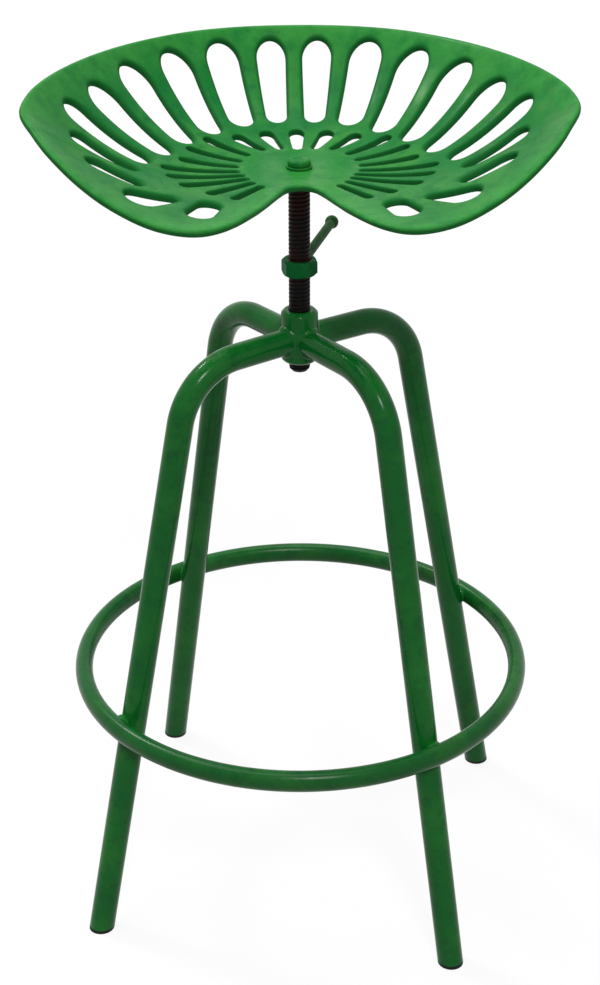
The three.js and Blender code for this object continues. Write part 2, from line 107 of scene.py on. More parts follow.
# %% Faces between rings of points
def full_circle(count):
    """So many angles at even steps round a circle."""
    return np.arange(count) * FULL_TURN / count


def ring_faces(rings, sides, closed=False, capped=False):
    faces = []
    for ring in range(rings if closed else rings - 1):
        near = ring * sides
        far = (ring + 1) % rings * sides
        for side in range(sides):
            after = (side + 1) % sides
            faces.append((near + side, near + after, far + after, far + side))
    if capped:
        faces.append(tuple(reversed(range(sides))))
        faces.append(tuple(range((rings - 1) * sides, rings * sides)))
    return faces


def turned(profile, sides):
    """Points and faces of a body turned round Z, from a list of (radius, height)."""
    points = [
        (radius * math.cos(angle), radius * math.sin(angle), height)
        for radius, height in profile
        for angle in full_circle(sides)
    ]
    return points, ring_faces(len(profile), sides, capped=True)


def turned_ring(profile, sides):
    """A turned body with a bore: its profile closes on itself."""
    points = [
        (radius * math.cos(angle), radius * math.sin(angle), height)
        for angle in full_circle(sides)
        for radius, height in profile
    ]
    return points, ring_faces(sides, len(profile), closed=True)


# %% [markdown]
# ## The finishes
# The stool is sprayed with green enamel. Up close, sprayed paint is never one flat colour: it is
# a little paler where it lies thin and deeper where it pooled, and its surface has the fine waves
# that painters call orange peel. Both effects are used on several materials, so each is a shader
# node group. A group could also be copied by hand into each material, but then a change would
# have to be made many times.


# %% Small helpers for shader nodes
def add_node(tree, kind, **settings):
    node = tree.nodes.new(kind)
    for name, value in settings.items():
        setattr(node, name, value)
    return node


def set_inputs(node, **values):
    for name, value in values.items():
        node.inputs[name.replace("_", " ")].default_value = value
    return node


def new_group(name, inputs, outputs):
    """A node group whose sockets are given as {name: kind}."""
    group = bpy.data.node_groups.new(name, "ShaderNodeTree")
    for direction, sockets in (("INPUT", inputs), ("OUTPUT", outputs)):
        for socket, kind in sockets.items():
            group.interface.new_socket(socket, in_out=direction, socket_type="NodeSocket" + kind)
    return group, add_node(group, "NodeGroupInput"), add_node(group, "NodeGroupOutput")


def noise(tree, place, scale, detail, roughness=0.5):
    """Cloudy values about 0.5, so many clouds to a metre."""
    node = add_node(tree, "ShaderNodeTexNoise")
    set_inputs(node, Scale=scale, Detail=detail, Roughness=roughness)
    tree.links.new(place, node.inputs["Vector"])
    return node.outputs["Fac"]


def remap(tree, value, low, high, new_low=0.0, new_high=1.0):
    """The value, stretched so that low to high becomes new_low to new_high, and held there."""
    node = add_node(tree, "ShaderNodeMapRange")
    set_inputs(node, From_Min=low, From_Max=high, To_Min=new_low, To_Max=new_high)
    tree.links.new(value, node.inputs["Value"])
    return node.outputs["Result"]


def combine(tree, operation, first, second):
    """Two values put together by a Math node."""
    node = add_node(tree, "ShaderNodeMath", operation=operation)
    tree.links.new(first, node.inputs[0])
    tree.links.new(second, node.inputs[1])
    return node.outputs[0]


def point_number(tree, name):
    """A number that is stored on every point of the mesh."""
    return add_node(tree, "ShaderNodeAttribute", attribute_name=name).outputs["Fac"]


def soft_normal(tree, reach, samples):
    """The surface's normal as if every edge were rounded this far."""
    node = add_node(tree, "ShaderNodeBevel", samples=samples)
    node.inputs["Radius"].default_value = reach
    return node.outputs["Normal"]


def mix_colour(tree, share, first, second):
    """A mix of two colours, each a socket or a plain colour."""
    node = add_node(tree, "ShaderNodeMix", data_type="RGBA")
    # Of a Mix node's inputs, 0 is the factor, and 6 and 7 are the two colours
    sockets = [node.inputs[index] for index in (0, 6, 7)]
    for socket, value in zip(sockets, (share, first, second)):
        if isinstance(value, bpy.types.NodeSocket):
            tree.links.new(value, socket)
        else:
            socket.default_value = value
    return node.outputs[2]


# %% [markdown]
# The first group mottles a paint. Clouds about a hand wide swing it between a pale and a deep
# tone, and finger-wide clouds break those up. The second group gives orange peel as a height, for
# the Bump node that stays in each material.

# %% Group: mottled paint
CLOUD_SCALE = 16.0
BLOTCH_SCALE = 70.0


def make_mottle():
    tree, given, out = new_group(
        "Mottled paint",
        {"Place": "Vector", "Main": "Color", "Pale": "Color", "Deep": "Color"},
        {"Color": "Color", "Cloud": "Float"},
    )
    place = given.outputs["Place"]
    clouds = noise(tree, place, CLOUD_SCALE, 3)
    blotches = noise(tree, place, BLOTCH_SCALE, 4, 0.6)
    thin = remap(tree, clouds, 0.44, 0.64)
    pooled = remap(tree, blotches, 0.48, 0.70, 0, 0.8)
    paler = mix_colour(tree, thin, given.outputs["Main"], given.outputs["Pale"])
    colour = mix_colour(tree, pooled, paler, given.outputs["Deep"])
    tree.links.new(colour, out.inputs["Color"])
    tree.links.new(blotches, out.inputs["Cloud"])
    return tree


MOTTLE = make_mottle()
print(MOTTLE.name, [item.name for item in MOTTLE.interface.items_tree])

# %% Group: orange peel
PEEL_SCALE = 420.0
SAG_SCALE = 38.0


def make_peel():
    tree, given, out = new_group(
        "Orange peel",
        {"Place": "Vector", "Sag": "Float"},
        {"Height": "Float"},
    )
    place = given.outputs["Place"]
    sagging = combine(tree, "MULTIPLY", noise(tree, place, SAG_SCALE, 2), given.outputs["Sag"])
    total = combine(tree, "ADD", noise(tree, place, PEEL_SCALE, 1), sagging)
    tree.links.new(total, out.inputs["Height"])
    return tree


PEEL = make_peel()
print(PEEL.name, [item.name for item in PEEL.interface.items_tree])

# %% [markdown]
# Paint on a corner is thin and gets rubbed first. The third group finds corners by comparing the
# surface's own normal with one from a rounded-off copy of the corner, which the Bevel node gives.
# Where the two differ, it is a corner. Noise breaks the line up, so that the wear isn't a tidy
# stripe.

# %% Group: rubbed corners
CORNER_REACH = 0.0012
RUB_SCALE = 160.0


def make_rub():
    tree, given, out = new_group(
        "Rubbed corners",
        {"Place": "Vector", "Amount": "Float"},
        {"Mask": "Float"},
    )
    plain = add_node(tree, "ShaderNodeNewGeometry").outputs["Normal"]
    likeness = add_node(tree, "ShaderNodeVectorMath", operation="DOT_PRODUCT")
    tree.links.new(soft_normal(tree, CORNER_REACH, 4), likeness.inputs[0])
    tree.links.new(plain, likeness.inputs[1])
    corner = remap(tree, likeness.outputs["Value"], 0.99, 0.85)
    broken = remap(tree, noise(tree, given.outputs["Place"], RUB_SCALE, 5, 0.7), 0.42, 0.62)
    worn = combine(tree, "MULTIPLY", corner, broken)
    tree.links.new(combine(tree, "MULTIPLY", worn, given.outputs["Amount"]), out.inputs["Mask"])
    return tree


RUB = make_rub()
print(RUB.name, [item.name for item in RUB.interface.items_tree])

# %% [markdown]
# Each material starts from the same three nodes: its output, a Principled BSDF, and the object's
# own coordinates. Object coordinates turn and rise with the piece, so no pattern slides over it.


# %% A bare material, and the enamel recipe
def new_material(name):
    material = bpy.data.materials.new(name)
    material.use_nodes = True
    tree = material.node_tree
    shader = tree.nodes["Principled BSDF"]
    place = add_node(tree, "ShaderNodeTexCoord").outputs["Object"]
    return material, tree, shader, place


def use_group(tree, group, place):
    node = add_node(tree, "ShaderNodeGroup", node_tree=group)
    tree.links.new(place, node.inputs["Place"])
    return node


def bump(tree, shader, height, distance):
    node = set_inputs(add_node(tree, "ShaderNodeBump"), Distance=distance, Strength=1.0)
    tree.links.new(height, node.inputs["Height"])
    tree.links.new(node.outputs["Normal"], shader.inputs["Normal"])


def enamel(name, main, pale, deep, gloss_range, peel_height, sag, specular, rub_amount):
    """Green enamel: mottled, a little worn on its corners, with orange peel."""
    material, tree, shader, place = new_material(name)
    mottle = set_inputs(use_group(tree, MOTTLE, place), Main=main, Pale=pale, Deep=deep)
    rub = set_inputs(use_group(tree, RUB, place), Amount=rub_amount)
    colour = mix_colour(tree, rub.outputs["Mask"], mottle.outputs["Color"], pale)
    tree.links.new(colour, shader.inputs["Base Color"])
    roughness = remap(tree, mottle.outputs["Cloud"], 0.3, 0.7, *gloss_range)
    tree.links.new(roughness, shader.inputs["Roughness"])
    peel = set_inputs(use_group(tree, PEEL, place), Sag=sag)
    bump(tree, shader, peel.outputs["Height"], peel_height)
    set_inputs(shader, Specular_IOR_Level=specular)
    return material, tree, shader, place, colour


# %% [markdown]
# The frame's enamel is a deep, glossy green. The footrest's is mixed a little darker, a shaded
# copy of the same paint, which is painted shade, and it is less glossy. The lock nut and its lever
# are duller still: hands hold them. Each is the same recipe with other numbers, so the numbers
# stand in a table.

# %% Enamels
PLAIN_ENAMELS = {
    "frame_enamel": {
        "main": (0.003, 0.129, 0.017, 1), "pale": (0.010, 0.166, 0.020, 1),
        "deep": (0.001, 0.095, 0.017, 1), "gloss_range": (0.13, 0.22),
        "peel_height": 0.00003, "sag": 6, "specular": 0.13, "rub_amount": 0.2,
    },
    # Painted shade: the footrest's green is a darker copy of the frame's
    "ring_shaded_enamel": {
        "main": (0.004, 0.101, 0.015, 1), "pale": (0.014, 0.135, 0.020, 1),
        "deep": (0.002, 0.073, 0.013, 1), "gloss_range": (0.20, 0.30),
        "peel_height": 0.00004, "sag": 3, "specular": 0.15, "rub_amount": 0.5,
    },
    "nut_enamel": {
        "main": (0.004, 0.115, 0.026, 1), "pale": (0.011, 0.150, 0.034, 1),
        "deep": (0.002, 0.085, 0.020, 1), "gloss_range": (0.4, 0.5),
        "peel_height": 0.00003, "sag": 3, "specular": 0.04, "rub_amount": 0.5,
    },
    "lever_enamel": {
        "main": (0.030, 0.112, 0.032, 1), "pale": (0.062, 0.165, 0.062, 1),
        "deep": (0.012, 0.065, 0.014, 1), "gloss_range": (0.45, 0.6),
        "peel_height": 0.00005, "sag": 2, "specular": 0.05, "rub_amount": 0.3,
    },
}
frame_enamel, ring_shaded_enamel, nut_enamel, lever_enamel = (
    enamel(name, **numbers)[0] for name, numbers in PLAIN_ENAMELS.items()
)
print("enamels", list(PLAIN_ENAMELS))

# %% [markdown]
# The seat's enamel is mixed lighter than the frame's, though both are one green: it is a lit
# copy of the same paint, which is painted light. The walls of its slots and the edge of its rim
# are painted darker, which is painted shade where less light falls. A band along the rim is
# painted brighter, which is painted light, the middle is a little paler, and near the right
# corner a hand has rubbed it to a greyish green. The seat's mesh carries three numbers for this,
# from 0 to 1: the painted shade, the painted rim light with the paler middle, and the wear, and
# the material reads them. Thick paint also softens every edge. A rounder mesh could show that,
# but it would need many more faces, so the normal of a Bevel node goes into the Bump node.

# %% The seat's enamel
# Painted light: the seat's green is mixed lighter than the frame's, a lit copy of the same paint
SEAT_ENAMEL = {
    "main": (0.009, 0.186, 0.031, 1), "pale": (0.030, 0.238, 0.036, 1),
    "deep": (0.003, 0.138, 0.030, 1), "gloss_range": (0.22, 0.33),
    "peel_height": 0.00005, "sag": 8, "specular": 0.055, "rub_amount": 0,
}
# Painted shade: the darker green of the slot walls, the rim's edge and the bolt's sides
PAINTED_SHADE_GREEN = (0.010, 0.140, 0.026, 1)
SLOT_ROUGHNESS = 0.65
# Painted light along the rim, and the paler green of the middle
PALE_AND_RIM_LIGHT_GREEN = (0.044, 0.310, 0.052, 1)
RUBBED_GREY = (0.075, 0.195, 0.075, 1)
STREAK_SCALE = 26.0
WEAR_SCALE = 62.0
SEAT_EDGE_SOFTNESS = 0.0025


def make_seat_enamel():
    material, tree, shader, place, colour = enamel("seat_lit_enamel", **SEAT_ENAMEL)
    streaks = remap(tree, noise(tree, place, STREAK_SCALE, 5, 0.65), 0.5, 0.66, 0, 0.75)
    uneven = remap(tree, noise(tree, place, WEAR_SCALE, 5, 0.65), 0.37, 0.61, 0.3, 1)
    # Painted light in a band along the rim, and a paler middle
    pale_share = combine(tree, "MULTIPLY", point_number(tree, "rim_light_and_pale_middle"), uneven)
    grey_share = combine(tree, "MULTIPLY", point_number(tree, "worn"), streaks)
    brighter = mix_colour(tree, pale_share, colour, PALE_AND_RIM_LIGHT_GREEN)
    used = mix_colour(tree, grey_share, brighter, RUBBED_GREY)
    # Painted shade, darker and duller, where the mesh's number for painted shade is high
    share = remap(tree, point_number(tree, "painted_shade"), 0.1, 0.7)
    tree.links.new(mix_colour(tree, share, used, PAINTED_SHADE_GREEN), shader.inputs["Base Color"])
    gloss = shader.inputs["Roughness"].links[0].from_socket
    duller = add_node(tree, "ShaderNodeMix")
    duller.inputs["B"].default_value = SLOT_ROUGHNESS
    tree.links.new(share, duller.inputs["Factor"])
    tree.links.new(gloss, duller.inputs["A"])
    tree.links.new(duller.outputs["Result"], shader.inputs["Roughness"])
    bump_node = shader.inputs["Normal"].links[0].from_node
    tree.links.new(soft_normal(tree, SEAT_EDGE_SOFTNESS, 6), bump_node.inputs["Normal"])
    return material


seat_lit_enamel = make_seat_enamel()
print(seat_lit_enamel.name, len(seat_lit_enamel.node_tree.nodes), "nodes")

# %% [markdown]
# The screw is blackened steel with a film of grease. The crests of its thread are painted a shade
# darker than its roots, which is painted shade that tones down the light they catch, and rust shows
# through in faint red-brown patches. The distance from the screw's axis tells a crest from a root,
# so it is worked out from the coordinates. The plugs in the feet are black rubber, scuffed grey in
# places by the floor. A picture of worn rubber could be laid on them, but noise costs nothing and
# has no seams.

# %% Blackened steel and rubber
SCREW_RADIUS = 0.010
THREAD_DEPTH = 0.0011
STEEL_BLACK = (0.006, 0.0055, 0.005, 1)
# Painted shade on the thread's crests
STEEL_CREST_SHADE = (0.005, 0.004, 0.004, 1)
RUST = (0.026, 0.007, 0.005, 1)
RUST_SCALE = 55.0
SMEAR_SCALE = 140.0
STEEL_GRAIN_SCALE = 900.0
STEEL_GRAIN_HEIGHT = 0.00003
STEEL_GLOSS = (0.34, 0.55)
STEEL_SPECULAR = 0.07
RUBBER_BLACK = (0.006, 0.007, 0.006, 1)
RUBBER_SCUFFED = (0.03, 0.03, 0.028, 1)
SCUFF_SCALE = 120.0
RUBBER_GRAIN_SCALE = 1500.0
RUBBER_GRAIN_HEIGHT = 0.00004
RUBBER_GLOSS = (0.55, 0.8)
RUBBER_SPECULAR = 0.15


def make_steel():
    material, tree, shader, place = new_material("blackened_steel")
    flat = add_node(tree, "ShaderNodeVectorMath", operation="MULTIPLY")
    flat.inputs[1].default_value = (1, 1, 0)
    tree.links.new(place, flat.inputs[0])
    reach = add_node(tree, "ShaderNodeVectorMath", operation="LENGTH")
    tree.links.new(flat.outputs["Vector"], reach.inputs[0])
    crest = remap(tree, reach.outputs["Value"], SCREW_RADIUS - THREAD_DEPTH / 4, SCREW_RADIUS)
    # Painted shade: the crests are a darker black than the roots
    crest_shaded = mix_colour(tree, crest, STEEL_BLACK, STEEL_CREST_SHADE)
    patches = remap(tree, noise(tree, place, RUST_SCALE, 4, 0.6), 0.46, 0.62, 0, 0.8)
    tree.links.new(mix_colour(tree, patches, crest_shaded, RUST), shader.inputs["Base Color"])
    smears = remap(tree, noise(tree, place, SMEAR_SCALE, 3), 0.35, 0.65, *STEEL_GLOSS)
    tree.links.new(smears, shader.inputs["Roughness"])
    bump(tree, shader, noise(tree, place, STEEL_GRAIN_SCALE, 2), STEEL_GRAIN_HEIGHT)
    set_inputs(shader, Specular_IOR_Level=STEEL_SPECULAR)
    return material


def make_rubber():
    material, tree, shader, place = new_material("plug_rubber")
    scuffs = remap(tree, noise(tree, place, SCUFF_SCALE, 5, 0.7), 0.5, 0.7)
    colour = mix_colour(tree, scuffs, RUBBER_BLACK, RUBBER_SCUFFED)
    tree.links.new(colour, shader.inputs["Base Color"])
    tree.links.new(remap(tree, scuffs, 0, 1, *RUBBER_GLOSS), shader.inputs["Roughness"])
    bump(tree, shader, noise(tree, place, RUBBER_GRAIN_SCALE, 2), RUBBER_GRAIN_HEIGHT)
    set_inputs(shader, Specular_IOR_Level=RUBBER_SPECULAR)
    return material


blackened_steel = make_steel()
plug_rubber = make_rubber()
print("materials", [material.name for material in bpy.data.materials])

# %% [markdown]
# ## The seat
# The real seat is pressed from sheet steel: a dish with a raised back and sides and a notch at
# the front, with two rows of slots cut through it. A subdivision surface would round the slots
# away. So the outline is described by a few listed shares of its size, the slots by their
# ends and widths, and the dish by one formula: from the middle to the rim, the height grows with
# a power of the distance.

# %% The seat's sizes, outline and slots
SEAT_CENTRE = 0.7465
SEAT_THICKNESS = 0.0068
SEAT_HALF_WIDTH = 0.2387
SEAT_REACH = 0.1906
SEAT_RISE = 0.086
SEAT_STEEPNESS = 2.8
# Half of the rim from the back to the notch: across, along and rise
RIM_SHARES = [
    (0, 1, 1), (0.209, 0.976, 1), (0.408, 0.888, 1), (0.579, 0.728, 1), (0.724, 0.524, 1),
    (0.846, 0.277, 0.995), (0.935, 0.041, 0.97), (0.985, -0.152, 0.926), (1, -0.337, 0.856),
    (0.953, -0.484, 0.76), (0.889, -0.62, 0.628), (0.786, -0.744, 0.419), (0.669, -0.841, 0.236),
    (0.517, -0.926, 0.084), (0.378, -0.933, 0.022), (0.27, -0.841, 0.012), (0.16, -0.616, 0.012),
    (0.052, -0.317, 0.012), (0, -0.281, 0.012),
]
# Inner and outer angle from the back in degrees, then both distances and both widths as shares
# of the seat's reach
LONG_SLOT_SHARES = [
    (9.3, 7.5, 0.536, 0.953, 0.103, 0.145), (26.9, 23.5, 0.54, 0.971, 0.129, 0.165),
    (46.2, 40.5, 0.533, 0.97, 0.128, 0.175), (66.4, 58.9, 0.551, 0.982, 0.128, 0.185),
    (84.8, 77.2, 0.602, 1.01, 0.129, 0.185), (98.4, 91.3, 0.705, 1.086, 0.115, 0.135),
    (109.8, 102.5, 0.792, 1.069, 0.086, 0.098), (122, 115.6, 0.85, 1.065, 0.08, 0.116),
    (134, 132, 0.782, 1.034, 0.054, 0.147), (144.2, 146.4, 0.663, 0.888, 0.108, 0.12),
]
SHORT_SLOT_SHARES = [
    (16.8, 19.6, 0.283, 0.471, 0.037, 0.073), (33.4, 38.6, 0.299, 0.483, 0.035, 0.07),
    (54, 57.5, 0.289, 0.535, 0.038, 0.058), (73, 75.4, 0.283, 0.551, 0.038, 0.052),
    (89.5, 90.5, 0.286, 0.567, 0.038, 0.052), (103, 103.3, 0.289, 0.664, 0.038, 0.054),
    (114.5, 113.7, 0.283, 0.674, 0.038, 0.054), (125, 123.8, 0.291, 0.664, 0.038, 0.052),
    (136, 135.4, 0.307, 0.609, 0.036, 0.048), (147, 146.8, 0.32, 0.572, 0.036, 0.044),
]
BACK_SLOT_SHARES = (0, 0, 0.271, 0.465, 0.044, 0.073)

# %% [markdown]
# A centripetal Catmull-Rom curve passes through the rim's points without loops or cusps, which a
# plain one can make where points lie close together, as they do at the notch.


# %% The rim as a smooth closed curve
def closed_curve(points, steps):
    """Points on a closed centripetal Catmull-Rom curve, so many for each given point."""
    made = []
    share = np.linspace(0, 1, steps, endpoint=False)[:, None]
    for index in range(len(points)):
        before, start, end, after = np.roll(points, 1 - index, 0)[:4]
        steps_between = (start - before, end - start, after - end)
        gap_in, gap, gap_out = (math.sqrt(np.linalg.norm(step)) for step in steps_between)
        leave = (start - before) / gap_in - (end - before) / (gap_in + gap) + (end - start) / gap
        arrive = (end - start) / gap - (after - start) / (gap + gap_out) + (after - end) / gap_out
        leave, arrive = leave * gap, arrive * gap
        square, cube = share**2, share**3
        made.append(
            start
            + leave * share
            + (3 * (end - start) - 2 * leave - arrive) * square
            + (2 * (start - end) + leave + arrive) * cube
        )
    return np.vstack(made)


RIM_STEPS = 16
RIM_SIZE = np.array([SEAT_HALF_WIDTH, SEAT_REACH, SEAT_RISE])
right_half = np.array(RIM_SHARES) * RIM_SIZE
left_half = right_half[-2:0:-1] * [-1, 1, 1]
rim = closed_curve(np.vstack([right_half, left_half]), RIM_STEPS)
print("rim points", len(rim), "width", round(float(np.ptp(rim[:, 0])), 4))

# %% [markdown]
# The dish formula needs the rim's distance and height in any direction. Both are looked up by
# angle. The surface's slope, measured over a short step, gives the direction square to it, along
# which the sheet's thickness is laid off.

# %% The dished surface
SLOPE_STEP = 0.0005
rim_angle, rim_reach = np.arctan2(rim[:, 0], rim[:, 1]), np.hypot(rim[:, 0], rim[:, 1])


def dish_height(x, y):
    angle = np.arctan2(x, y)
    reach = np.interp(angle, rim_angle, rim_reach, period=FULL_TURN)
    rise = np.interp(angle, rim_angle, rim[:, 2], period=FULL_TURN)
    return SEAT_CENTRE + rise * (np.hypot(x, y) / reach) ** SEAT_STEEPNESS


def on_seat(plan, depth):
    """Points under the places in plan, so deep below the seat's top face."""
    x, y = np.asarray(plan, float).T
    step = SLOPE_STEP
    slope_x = (dish_height(x + step, y) - dish_height(x - step, y)) / (2 * step)
    slope_y = (dish_height(x, y + step) - dish_height(x, y - step)) / (2 * step)
    square = np.stack([-slope_x, -slope_y, np.ones_like(x)], 1)
    square /= np.linalg.norm(square, axis=1)[:, None]
    return np.stack([x, y, dish_height(x, y)], 1) - square * depth


rim_back = float(dish_height(*rim[0, :2]))
print("back of the rim, before its edge is rounded,", round(rim_back, 4), "m above the floor")

# %% [markdown]
# Each slot is a tapered track: two round ends joined by straight sides. Made a little wider by
# `grow`, the same function also gives the loops that round its edge over, and since every loop has
# as many points, they join up without any searching.

# %% Outlines of the slots and the rim
POINT_SPACING = 0.0026
LEAST_ARC_STEPS = 8


def slot_places(shares, side):
    """Both ends of a slot on one side of the seat, and their radii."""
    inner_angle, outer_angle, inner, outer, inner_width, outer_width = shares
    inner_radius, outer_radius = inner_width * SEAT_REACH / 2, outer_width * SEAT_REACH / 2
    ends = []
    for angle, reach in (
        (inner_angle, inner * SEAT_REACH + inner_radius),
        (outer_angle, outer * SEAT_REACH - outer_radius),
    ):
        turn = math.radians(angle)
        ends.append(reach * np.array([side * math.sin(turn), math.cos(turn)]))
    return *ends, inner_radius, outer_radius


def slot_outline(places, grow):
    inner, outer, inner_radius, outer_radius = places
    length = np.linalg.norm(outer - inner)
    along = (outer - inner) / length
    across = np.array([-along[1], along[0]])
    lean = math.asin((outer_radius - inner_radius) / length)
    straight = max(2, round(length / POINT_SPACING))

    def at(centre, radius, angle):
        spoke = along * math.cos(angle) + across * math.sin(angle)
        return centre + (radius + grow) * spoke

    ends = [
        (outer, outer_radius, -math.pi / 2 - lean, math.pi + 2 * lean),
        (inner, inner_radius, math.pi / 2 + lean, math.pi - 2 * lean),
    ]
    outline = []
    for (centre, radius, first, sweep), other_end in zip(ends, ends[::-1]):
        steps = max(LEAST_ARC_STEPS, round(sweep * radius / POINT_SPACING))
        for angle in first + sweep * np.arange(steps + 1) / steps:
            outline.append(at(centre, radius, angle))
        last, target = outline[-1], at(*other_end[:3])
        outline.extend(last + (target - last) * n / straight for n in range(1, straight))
    return np.array(outline)


def evened(points, spacing):
    """A closed outline with points at even distances."""
    closed = np.vstack([points, points[:1]])
    run = np.concatenate([[0], np.cumsum(np.linalg.norm(np.diff(closed, axis=0), axis=1))])
    at = np.linspace(0, run[-1], round(run[-1] / spacing), endpoint=False)
    return np.stack([np.interp(at, run, closed[:, axis]) for axis in (0, 1)], 1)


rim_outline = evened(rim[:, :2], POINT_SPACING)


def rim_inset(inset):
    """The rim's outline in plan, moved inwards."""
    along = np.roll(rim_outline, -1, 0) - np.roll(rim_outline, 1, 0)
    along /= np.linalg.norm(along, axis=1)[:, None]
    return rim_outline + inset * np.stack([along[:, 1], -along[:, 0]], 1)


BOLT_HOLE_RADIUS = 0.0058
HOLE_SIDES = 48


def hole_outline(grow):
    angles = full_circle(HOLE_SIDES)
    return (BOLT_HOLE_RADIUS + grow) * np.stack([np.cos(angles), np.sin(angles)], 1)


long_slots, short_slots = (
    [slot_places(shares, side) for side in (1, -1) for shares in table]
    for table in (LONG_SLOT_SHARES, SHORT_SLOT_SHARES)
)
short_slots.append(slot_places(BACK_SLOT_SHARES, 1))
print("slots", len(long_slots) + len(short_slots), "rim outline", len(rim_outline))

# %% [markdown]
# The edges are rounded over the way a press leaves them: the curve starts a few millimetres in
# on the face and drops into the slot. `edge_loops` lists each loop as how far it is grown from
# the slot's wall and how deep it lies.

# %% Loops over an edge
LONG_SLOT_ROUND = (0.0043, 0.0030)
SHORT_SLOT_ROUND = (0.0015, 0.0024)
HOLE_ROUND = (0.0012, 0.0012)
RIM_ROUND = (0.0022, 0.0030)
UNDER_ROUND = 0.0012
UNDER_RIM_ROUND = 0.0040
ROUND_STEPS = 4


def edge_loops(top_reach, top_drop, under_round):
    """Pairs of grow and depth, from the top face over the edge and down to the underside."""
    quarter = np.arange(ROUND_STEPS + 1) * (math.pi / 2) / ROUND_STEPS
    top = [(top_reach * (1 - math.sin(angle)), top_drop * (1 - math.cos(angle))) for angle in quarter]
    under = [
        (under_round * (1 - math.cos(angle)), SEAT_THICKNESS - under_round * (1 - math.sin(angle)))
        for angle in quarter
    ]
    return top + under


print("loops over an edge", len(edge_loops(*RIM_ROUND, UNDER_RIM_ROUND)))

# %% [markdown]
# Between the outlines, the face is filled by a constrained Delaunay triangulation: it keeps every
# outline as edges and joins all points into well-shaped triangles. A grid of extra points lets the
# triangles follow the dish. The triangles that lie in a slot are thrown away.

# %% Filling the face between the outlines
GRID = 0.0055
CLEAR_OF_EDGE = 0.0026
SAME_PLACE = 1e-9


def distance_to_holes(places):
    nearest = np.linalg.norm(places, axis=1) - BOLT_HOLE_RADIUS
    for inner, outer, inner_radius, outer_radius in long_slots + short_slots:
        along = outer - inner
        share = np.clip((places - inner) @ along / (along @ along), 0, 1)
        radius = inner_radius + (outer_radius - inner_radius) * share
        away = np.linalg.norm(places - (inner + share[:, None] * along), axis=1) - radius
        nearest = np.minimum(nearest, away)
    return nearest


def inside_outline(places, outline):
    """True where a place lies inside a closed outline, by counting crossings."""
    inside = np.zeros(len(places), bool)
    for start, end in zip(outline, np.roll(outline, -1, 0)):
        crosses = (start[1] > places[:, 1]) != (end[1] > places[:, 1])
        rise = end[1] - start[1] if end[1] != start[1] else 1
        crossing = start[0] + (end[0] - start[0]) * (places[:, 1] - start[1]) / rise
        inside ^= crosses & (places[:, 0] < crossing)
    return inside


def grid_points():
    x = np.arange(-SEAT_HALF_WIDTH, SEAT_HALF_WIDTH, GRID)
    y = np.arange(-SEAT_REACH, SEAT_REACH, GRID * math.sqrt(3) / 2)
    across, along = np.meshgrid(x, y)
    across = across + (np.arange(len(y)) % 2)[:, None] * GRID / 2
    places = np.stack([across.ravel(), along.ravel()], 1)
    places = places[inside_outline(places, rim_inset(RIM_ROUND[0] + CLEAR_OF_EDGE))]
    return places[distance_to_holes(places) > LONG_SLOT_ROUND[0] + CLEAR_OF_EDGE]


def fill_face(loops):
    """Places in plan and triangles between the first outline and the others."""
    places, owner, edges = [], [], []
    for number, loop in enumerate(loops):
        first = len(places)
        places.extend(loop)
        owner.extend([number] * len(loop))
        edges.extend((first + step, first + (step + 1) % len(loop)) for step in range(len(loop)))
    inner = grid_points()
    places.extend(inner)
    owner.extend([0] * len(inner))
    corners = [Vector(place) for place in places]
    found = delaunay_2d_cdt(corners, edges, [], 1, SAME_PLACE, True)
    # found[2] has the triangles, and found[3] the numbers of the given points behind each new one
    first_given = [given[0] for given in found[3]]
    triangles = np.array([[first_given[corner] for corner in face] for face in found[2]])
    places, owner = np.array(places), np.array(owner)
    in_rim = inside_outline(places[triangles].mean(1), loops[0])
    owners = owner[triangles]
    in_hole = (owners[:, 0] > 0) & (owners.min(1) == owners.max(1))
    return places, triangles[in_rim & ~in_hole].tolist()


# %% [markdown]
# Now the seat is put together. The top and the underside share one triangulation, and the loops
# of each edge are bridged with four-sided faces. On the way, a share of painted shade is worked
# out for every point: it is 1 on the wall of a slot and 0 on the face, and on the rim's edge it
# grows with the depth.

# %% Every outline with the loops over its edge
cuts = [
    (rim_inset, edge_loops(*RIM_ROUND, UNDER_RIM_ROUND)),
    (hole_outline, edge_loops(*HOLE_ROUND, UNDER_ROUND)),
]
for slots, rounding in ((long_slots, LONG_SLOT_ROUND), (short_slots, SHORT_SLOT_ROUND)):
    slot_loops = edge_loops(*rounding, UNDER_ROUND)
    cuts += [(partial(slot_outline, slot), slot_loops) for slot in slots]
print("edges to round", len(cuts))


# %% Build the seat
def bridge(upper, lower, size):
    """Faces between two loops of this many points, given by the number of their first point."""
    steps = [(step, (step + 1) % size) for step in range(size)]
    return [(upper + after, upper + step, lower + step, lower + after) for step, after in steps]


